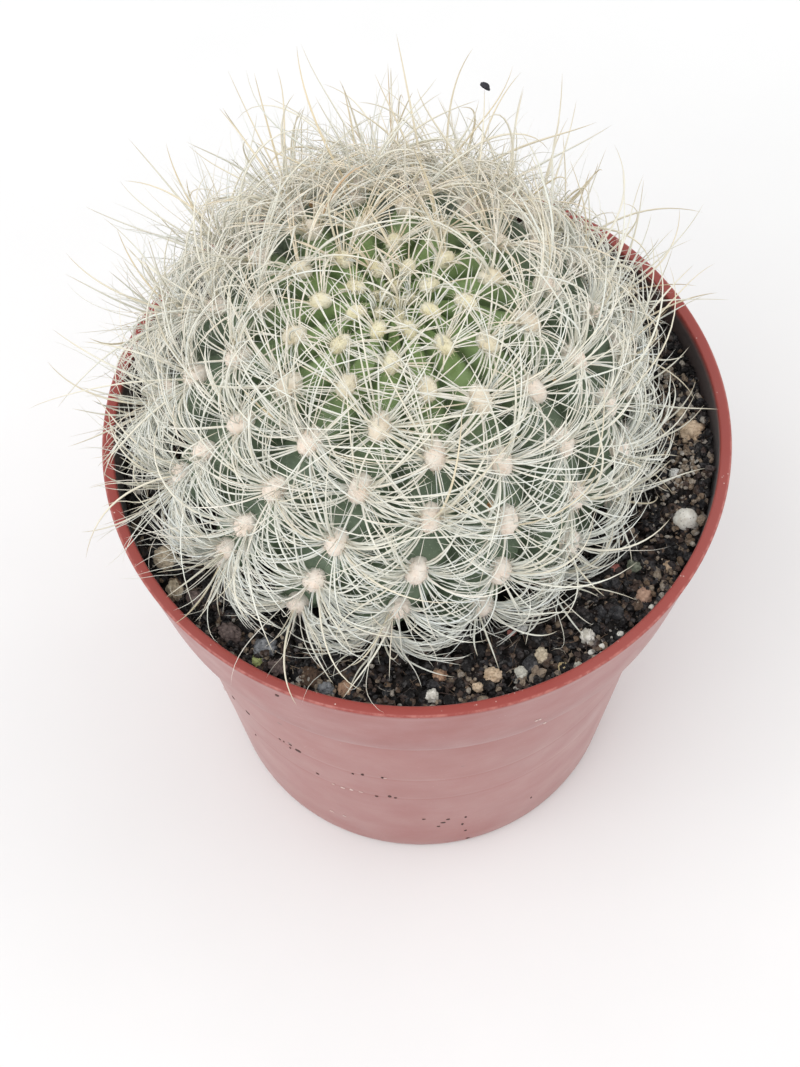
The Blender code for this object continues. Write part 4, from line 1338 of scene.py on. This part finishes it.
# A bank of crumbs against the wall at the right; BANK_SPREAD is its middle and spread in degrees
BANK_SPREAD = (104, 21)
BANK_CRUMBS = 620
BANK_WIDTH = 0.0040
BANK_HEIGHT = 0.0024


def crumb_look():
    """Loose crumbs; each has its own tone from black peat to tan bark dust and grey grit, with painted grey
    glints.
    """
    look = Look("loose_crumbs")
    colour = look.ramp(
        look.attribute("tone"),
        (0.0, (0.006, 0.006, 0.007)),
        (0.35, (0.014, 0.012, 0.012)),
        (0.50, (0.046, 0.046, 0.050)),
        (0.62, (0.070, 0.048, 0.042)),
        (0.74, (0.120, 0.080, 0.062)),
        (0.84, (0.24, 0.165, 0.110)),
        (0.93, (0.42, 0.34, 0.26)),
        (1.0, (0.60, 0.57, 0.52)),
    )
    fine = look.grain(0.0004, 5, 0.7)
    colour = look.over(colour, (0.01, 0.009, 0.01), fine, (0.35, 0.6), (0.60, 0.0))
    # Painted glints: grey patches over the crumbs.
    colour = look.over(colour, (0.20, 0.19, 0.19), look.grain(0.0009), (0.54, 0.0), (0.64, 0.40))
    gleam = look.ramp(fine, (0.40, 0.05), (0.65, 0.55))
    shine = look.ramp(fine, (0.3, 0.35), (0.7, 0.80))
    return look.finish(colour, shine, Specular_IOR_Level=gleam, Normal=look.bump(fine, 0.00025, 0.9))


def scatter_chips(name, look, draw, centres, sizes, tones, flatness=0.6, subdivisions=1, jag=0.28):
    """Small broken bits, each an icosphere with its points pushed about."""
    ball, triangles = icosphere(subdivisions)
    shapes = []
    for centre, size in zip(centres, sizes):
        rough = ball * (1 + draw.uniform(-jag, jag, (len(ball), 1)))
        narrow = draw.uniform(0.6, 1.0)
        rough = rough * (size / 2) * (narrow, 1.0, draw.uniform(flatness * 0.7, flatness * 1.3))
        spin = Matrix.Rotation(draw.uniform(0, 6.283), 3, "Z") @ Matrix.Rotation(draw.normal(0, 0.5), 3, "X")
        shapes.append(rough @ np.array(spin).T + centre)
    points, faces = merge(shapes, triangles)
    piece = new_piece(name, points, faces, look, "soil", tone=np.repeat(tones, len(ball)))
    piece.data.set_sharp_from_angle(angle=math.radians(CHIP_SHARP_ANGLE))


def ring_places(draw, count, inner, outer=CRUMB_EDGE):
    """Random places on the soil between the plant and the wall."""
    angle = draw.uniform(0, 2 * np.pi, count)
    share = np.sqrt(draw.uniform(0, 1, count))[:, None]
    way = np.column_stack([np.cos(angle), np.sin(angle)])
    return on_soil(PLANT[:2] * (1 - share) + (inner + (outer - inner) * share) * way)


def patch_places(draw, patches):
    """Places and tones of the bits in patches."""
    centres = []
    tones = []
    for angle, from_axis, spread, bits, low, high in patches:
        middle = from_axis * from_front(math.radians(angle))
        centres.append(middle + draw.normal(0, spread, (bits, 3)))
        tones.append(draw.uniform(low, high, bits))
    return on_soil(np.concatenate(centres), WALL_GAP) + UP * 0.0003, np.concatenate(tones)


def mixed_tones(draw, count, pale_share, pale_tone, shape, darken):
    """Mostly dark tones, and a share of pale ones."""
    pale = draw.uniform(0, 1, count) < pale_share
    return np.where(pale, draw.uniform(pale_tone, 1.0, count), draw.beta(*shape, count) * darken)


def build_crumbs(draw, look):
    """Crumbs and larger clods strewn over the soil."""
    centres = ring_places(draw, CRUMBS, 0.0335)
    sizes = np.minimum(draw.gamma(3.0, 0.00026, CRUMBS) + 0.0004, 0.0018)
    tones = mixed_tones(draw, CRUMBS, 0.09, 0.82, (1.5, 1.8), 0.88)
    scatter_chips("soil_crumbs", look, draw, centres, sizes, tones)
    centres = ring_places(draw, CLODS, 0.0345, CRUMB_EDGE - 0.0006)
    sizes = draw.uniform(0.0013, 0.0030, CLODS)
    tones = draw.beta(1.6, 1.8, CLODS) * 0.80
    scatter_chips("soil_clods", look, draw, centres, sizes, tones, 0.5, 2, 0.20)


def build_bank(draw, look):
    """Crumbs banked up against the wall."""
    angle = np.radians(draw.normal(*BANK_SPREAD, BANK_CRUMBS))
    inward = draw.uniform(0.0, 1.0, BANK_CRUMBS) ** 1.5 * BANK_WIDTH
    centres = on_soil((CRUMB_EDGE + 0.0006 - inward)[:, None] * from_front(angle))
    centres[:, 2] += BANK_HEIGHT * (1 - inward / BANK_WIDTH) * draw.uniform(0.0, 1.0, BANK_CRUMBS)
    sizes = draw.uniform(0.0008, 0.0019, BANK_CRUMBS)
    tones = mixed_tones(draw, BANK_CRUMBS, 0.22, 0.84, (1.7, 1.6), 0.86)
    scatter_chips("banked_crumbs", look, draw, centres, sizes, tones, 0.8, 1, 0.26)


def build_grit(draw, look):
    """Pale bits strewn over the soil, patches of them, and frosty crusts."""
    centres = ring_places(draw, PALE_BITS, 0.0355) + UP * 0.0003
    sizes = draw.uniform(0.0003, 0.0010, PALE_BITS)
    tones = draw.uniform(0.80, 1.0, PALE_BITS)
    places, patch_tones = patch_places(draw, GRIT_PATCHES)
    sizes = np.concatenate([sizes, draw.uniform(0.0005, 0.0018, len(places))])
    tones = np.concatenate([tones, patch_tones])
    scatter_chips("pale_debris", look, draw, np.concatenate([centres, places]), sizes, tones, 0.6, 2, 0.22)
    centres, tones = patch_places(draw, FROST_PATCHES)
    centres[:, 2] += draw.uniform(0.0, 0.0006, len(centres))
    sizes = draw.uniform(0.00035, 0.0012, len(centres))
    scatter_chips("frosty_flakes", look, draw, centres, sizes, tones, 0.5, 1, 0.3)


def build_fibres(draw, look):
    """Thin curved fibres that lie on the soil."""
    start = ring_places(draw, FIBRES, 0.0345, wall_inside(SOIL_LEVEL) - 0.003)
    turn = draw.uniform(0, 2 * np.pi, FIBRES)
    bend = draw.normal(0, 1.2, FIBRES)
    length = draw.uniform(0.0018, 0.0065, FIBRES)[:, None] / FIBRE_STEPS
    paths = [start + UP * 0.0002]
    for step in range(FIBRE_STEPS):
        heading = turn + bend * step / FIBRE_STEPS
        move = at_height(np.column_stack([np.cos(heading), np.sin(heading)])) * length
        paths.append(on_soil(paths[-1] + move, 0.0008) + UP * (0.0003 + 0.0002 * math.sin(step)))
    paths = np.stack(paths, axis=1)
    points, faces, _ = tubes(paths, draw.uniform(0.00006, 0.00020, FIBRES), 4)
    tone = np.repeat(draw.uniform(0.5, 0.97, FIBRES), len(points) // FIBRES)
    new_piece("soil_fibres", points, faces, look, "soil", tone=tone)


# Stones

# Dark and light colour of each kind
STONE_COLOURS = {
    "pumice": ((0.48, 0.34, 0.22), (0.80, 0.63, 0.46)),
    "mauve": ((0.050, 0.036, 0.034), (0.24, 0.18, 0.165)),
    "perlite": ((0.72, 0.68, 0.60), (0.92, 0.90, 0.84)),
    "broken_perlite": ((0.50, 0.46, 0.39), (0.94, 0.91, 0.84)),
    "chip": ((0.52, 0.52, 0.50), (0.80, 0.80, 0.78)),
    "beige": ((0.42, 0.33, 0.23), (0.72, 0.62, 0.47)),
    "tan": ((0.40, 0.27, 0.17), (0.66, 0.50, 0.35)),
    "pink": ((0.36, 0.21, 0.15), (0.64, 0.42, 0.31)),
    "green": ((0.06, 0.07, 0.05), (0.26, 0.28, 0.21)),
    "yellow": ((0.46, 0.33, 0.15), (0.72, 0.62, 0.38)),
    "red": ((0.22, 0.06, 0.05), (0.50, 0.20, 0.17)),
    "lime": ((0.22, 0.26, 0.07), (0.50, 0.55, 0.24)),
    "pale": ((0.52, 0.50, 0.42), (0.76, 0.74, 0.66)),
    "orange": ((0.20, 0.10, 0.06), (0.56, 0.36, 0.24)),
    "grey": ((0.045, 0.050, 0.060), (0.32, 0.33, 0.35)),
    "bark": ((0.035, 0.022, 0.018), (0.14, 0.085, 0.055)),
}
# How uneven and how clodded each kind is; the others take the usual values
STONE_ROUGHNESS = {
    "perlite": (0.07, 0.12),
    "chip": (0.24, 0.32),
    "red": (0.3, 0.3),
    "grey": (0.30, 0.55),
    "bark": (0.28, 0.30),
}
USUAL_ROUGHNESS = (0.26, 0.44)
CLOD_STEEPNESS = 1.6
STONES = {
    "pumice_right": "pumice",
    "pumice_left": "beige",
    "perlite_right": "perlite",
    "perlite_front": "broken_perlite",
    "perlite_left": "broken_perlite",
    "perlite_back": "broken_perlite",
    "chip_right": "chip",
    "gravel_green": "green",
    "gravel_tan_right": "tan",
    "gravel_pink": "pink",
    "gravel_tan_front": "beige",
    "gravel_yellow": "yellow",
    "gravel_pale": "pale",
    "gravel_brown_front": "pumice",
    "gravel_orange": "orange",
    "gravel_tan_left": "orange",
    "gravel_grey": "grey",
    "gravel_brown_left": "mauve",
    "gravel_back_1": "tan",
    "gravel_back_2": "grey",
    "gravel_back_3": "pink",
    "bark_left": "bark",
    "bark_back": "bark",
}
# Odd bits in the soil: degrees from the front towards +X, distance from the axis, length, width, kind
ODD_BITS = {
    "red_chip_right": (53, 0.0398, 0.0024, 0.0014, "red"),
    "red_chip_front": (22, 0.0379, 0.0016, 0.0012, "red"),
    "white_pebble_front": (25, 0.0381, 0.0017, 0.0014, "chip"),
    "lime_chip_left": (-35, 0.0474, 0.0020, 0.0016, "lime"),
    "mauve_clod_left": (-30.5, 0.0466, 0.0030, 0.0026, "mauve"),
    "pinkish_clod_left": (-43, 0.0460, 0.0040, 0.0030, "mauve"),
    "grey_clod_left": (-19.8, 0.0470, 0.0026, 0.0020, "grey"),
    "tan_bead_front": (10.6, 0.0455, 0.0018, 0.0016, "pumice"),
    "cream_bead_1": (37, 0.0476, 0.0015, 0.0012, "perlite"),
    "cream_bead_2": (34.5, 0.0474, 0.0012, 0.0010, "perlite"),
    "cream_bead_3": (41.5, 0.0480, 0.0014, 0.0011, "perlite"),
    "cream_bead_4": (31, 0.0478, 0.0013, 0.0011, "pale"),
    "cream_bead_5": (50, 0.0486, 0.0012, 0.0010, "perlite"),
    "white_lobe_right": (95.5, 0.0482, 0.0024, 0.0020, "perlite"),
    "tan_lobe_right": (96.5, 0.0455, 0.0021, 0.0018, "beige"),
    "beige_lump_left": (-58.5, 0.0476, 0.0036, 0.0028, "beige"),
    "white_bead_back": (160, 0.0476, 0.0013, 0.0011, "perlite"),
    "red_chip_back": (-150, 0.0420, 0.0022, 0.0015, "red"),
    "lime_chip_back": (145, 0.0455, 0.0018, 0.0014, "lime"),
    "mauve_clod_back": (-122, 0.0462, 0.0036, 0.0028, "mauve"),
}


def stone_look(kind, dark, light):
    """Grained stone with painted shade in its small pits, darker towards its bottom."""
    look = Look("stone_" + kind)
    fine = look.grain(0.0003, 5, 0.7)
    colour = look.ramp(look.grain(0.0016, 5, 0.6), (0.36, dark), (0.56, light))
    pits = look.ramp(look.cells(0.0006), (0.10, 0.75), (0.24, 0.0))
    grains = look.ramp(look.cells(0.00042, "Color"), (0.25, 0.0), (0.75, 1.0))
    colour = look.mix(0.45, colour, look.mix(grains, dark, light))
    # Painted shade: the pits take a darker copy of the stone's own colour.
    colour = look.mix(pits, colour, tuple(0.28 * level for level in dark))
    # Darker towards the bottom.
    darkened = look.ramp(look.attribute("low"), (0.0, 0.0), (0.5, 0.25), (1.0, 0.95))
    colour = look.mix(darkened, colour, (0.02, 0.016, 0.014))
    shine = look.ramp(fine, (0.3, 0.7), (0.7, 0.95))
    return look.finish(colour, shine, Normal=look.bump(fine, 0.0002, 0.9, look.bump(pits, 0.0002, -0.5)))


def clods(points, size):
    """Rounded clods with creases between them: 0 in a crease, up to 1."""
    return cell_noise(points, size, CLOD_STEEPNESS)[0]


def build_stones():
    """A finer stone in the place of each loose stone of the part."""
    draw = np.random.default_rng(SEED + 9)
    looks = {kind: stone_look(kind, *STONE_COLOURS[kind]) for kind in sorted(set(STONES.values()))}
    ball, triangles = icosphere(4)
    for node_name, kind in STONES.items():
        low, high = (np.array(corner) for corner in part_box(node_name))
        rough, clodded = STONE_ROUGHNESS.get(kind, USUAL_ROUGHNESS)
        offset = draw.uniform(0, 60, 3)
        lumpy = 0.75 * rough * noise_at(ball + offset, 0.95, 3)
        lumpy = lumpy + 0.35 * rough * noise_at(ball + offset, 0.2, 2)
        lumpy = lumpy + clodded * clods(ball + offset, 0.8) + 0.5 * clodded * clods(ball - offset, 0.38)
        shape = ball * (1 + lumpy)[:, None]
        if kind == "bark":
            shape[:, 2] *= 0.75 + 0.25 * np.sin(shape[:, 0] * 9)
        points = (shape - shape.min(0)) / (shape.max(0) - shape.min(0)) * (high - low) + low
        # How much darker towards its bottom each point is
        darkened = np.clip(1 - (points[:, 2] - low[2]) / (0.55 * (high[2] - low[2])), 0.0, 1.0)
        slot = node_name.split("_")[0]
        name = node_name + "_stone"
        new_piece(name, points, triangles.tolist(), looks[kind], slot, [node_name], low=darkened)


def build_odd_bits():
    """Small chips, beads and clods that stand out by their colour."""
    draw = np.random.default_rng(SEED + 11)
    kinds = {bit[-1] for bit in ODD_BITS.values()}
    looks = {kind: stone_look("small_" + kind, *STONE_COLOURS[kind]) for kind in sorted(kinds)}
    ball, triangles = icosphere(4)
    for name, (angle, from_axis, length, width, kind) in ODD_BITS.items():
        turn = math.radians(angle)
        centre = on_soil(from_axis * from_front(turn)[None]) + UP * 0.22 * width
        offset = draw.uniform(0, 60, 3)
        rough, clodded = STONE_ROUGHNESS.get(kind, USUAL_ROUGHNESS)
        lumpy = 1 + rough * noise_at(ball + offset, 0.9, 3) + clodded * clods(ball + offset, 0.7)
        shape = ball * lumpy[:, None] * (0.42 * length, 0.42 * width, 0.36 * width)
        points = centre + turned(shape, turn + draw.normal(0, 0.4))
        # How much darker towards its bottom each point is
        darkened = np.clip(0.4 - shape[:, 2] / (0.36 * width), 0.0, 1.0)
        new_piece(name, points, triangles.tolist(), looks[kind], "gravel", low=darkened)


build_camera()
build_light()
build_floor()
build_body()
felt = felt_look()
build_pads(felt)
build_spines()
build_fuzz(felt)
build_pot()
build_specks()
build_caught_bits()
build_soil()
crumb_draw = np.random.default_rng(SEED + 5)
crumb = crumb_look()
for build in (build_crumbs, build_bank, build_grit, build_fibres):
    build(crumb_draw, crumb)
build_stones()
build_odd_bits()
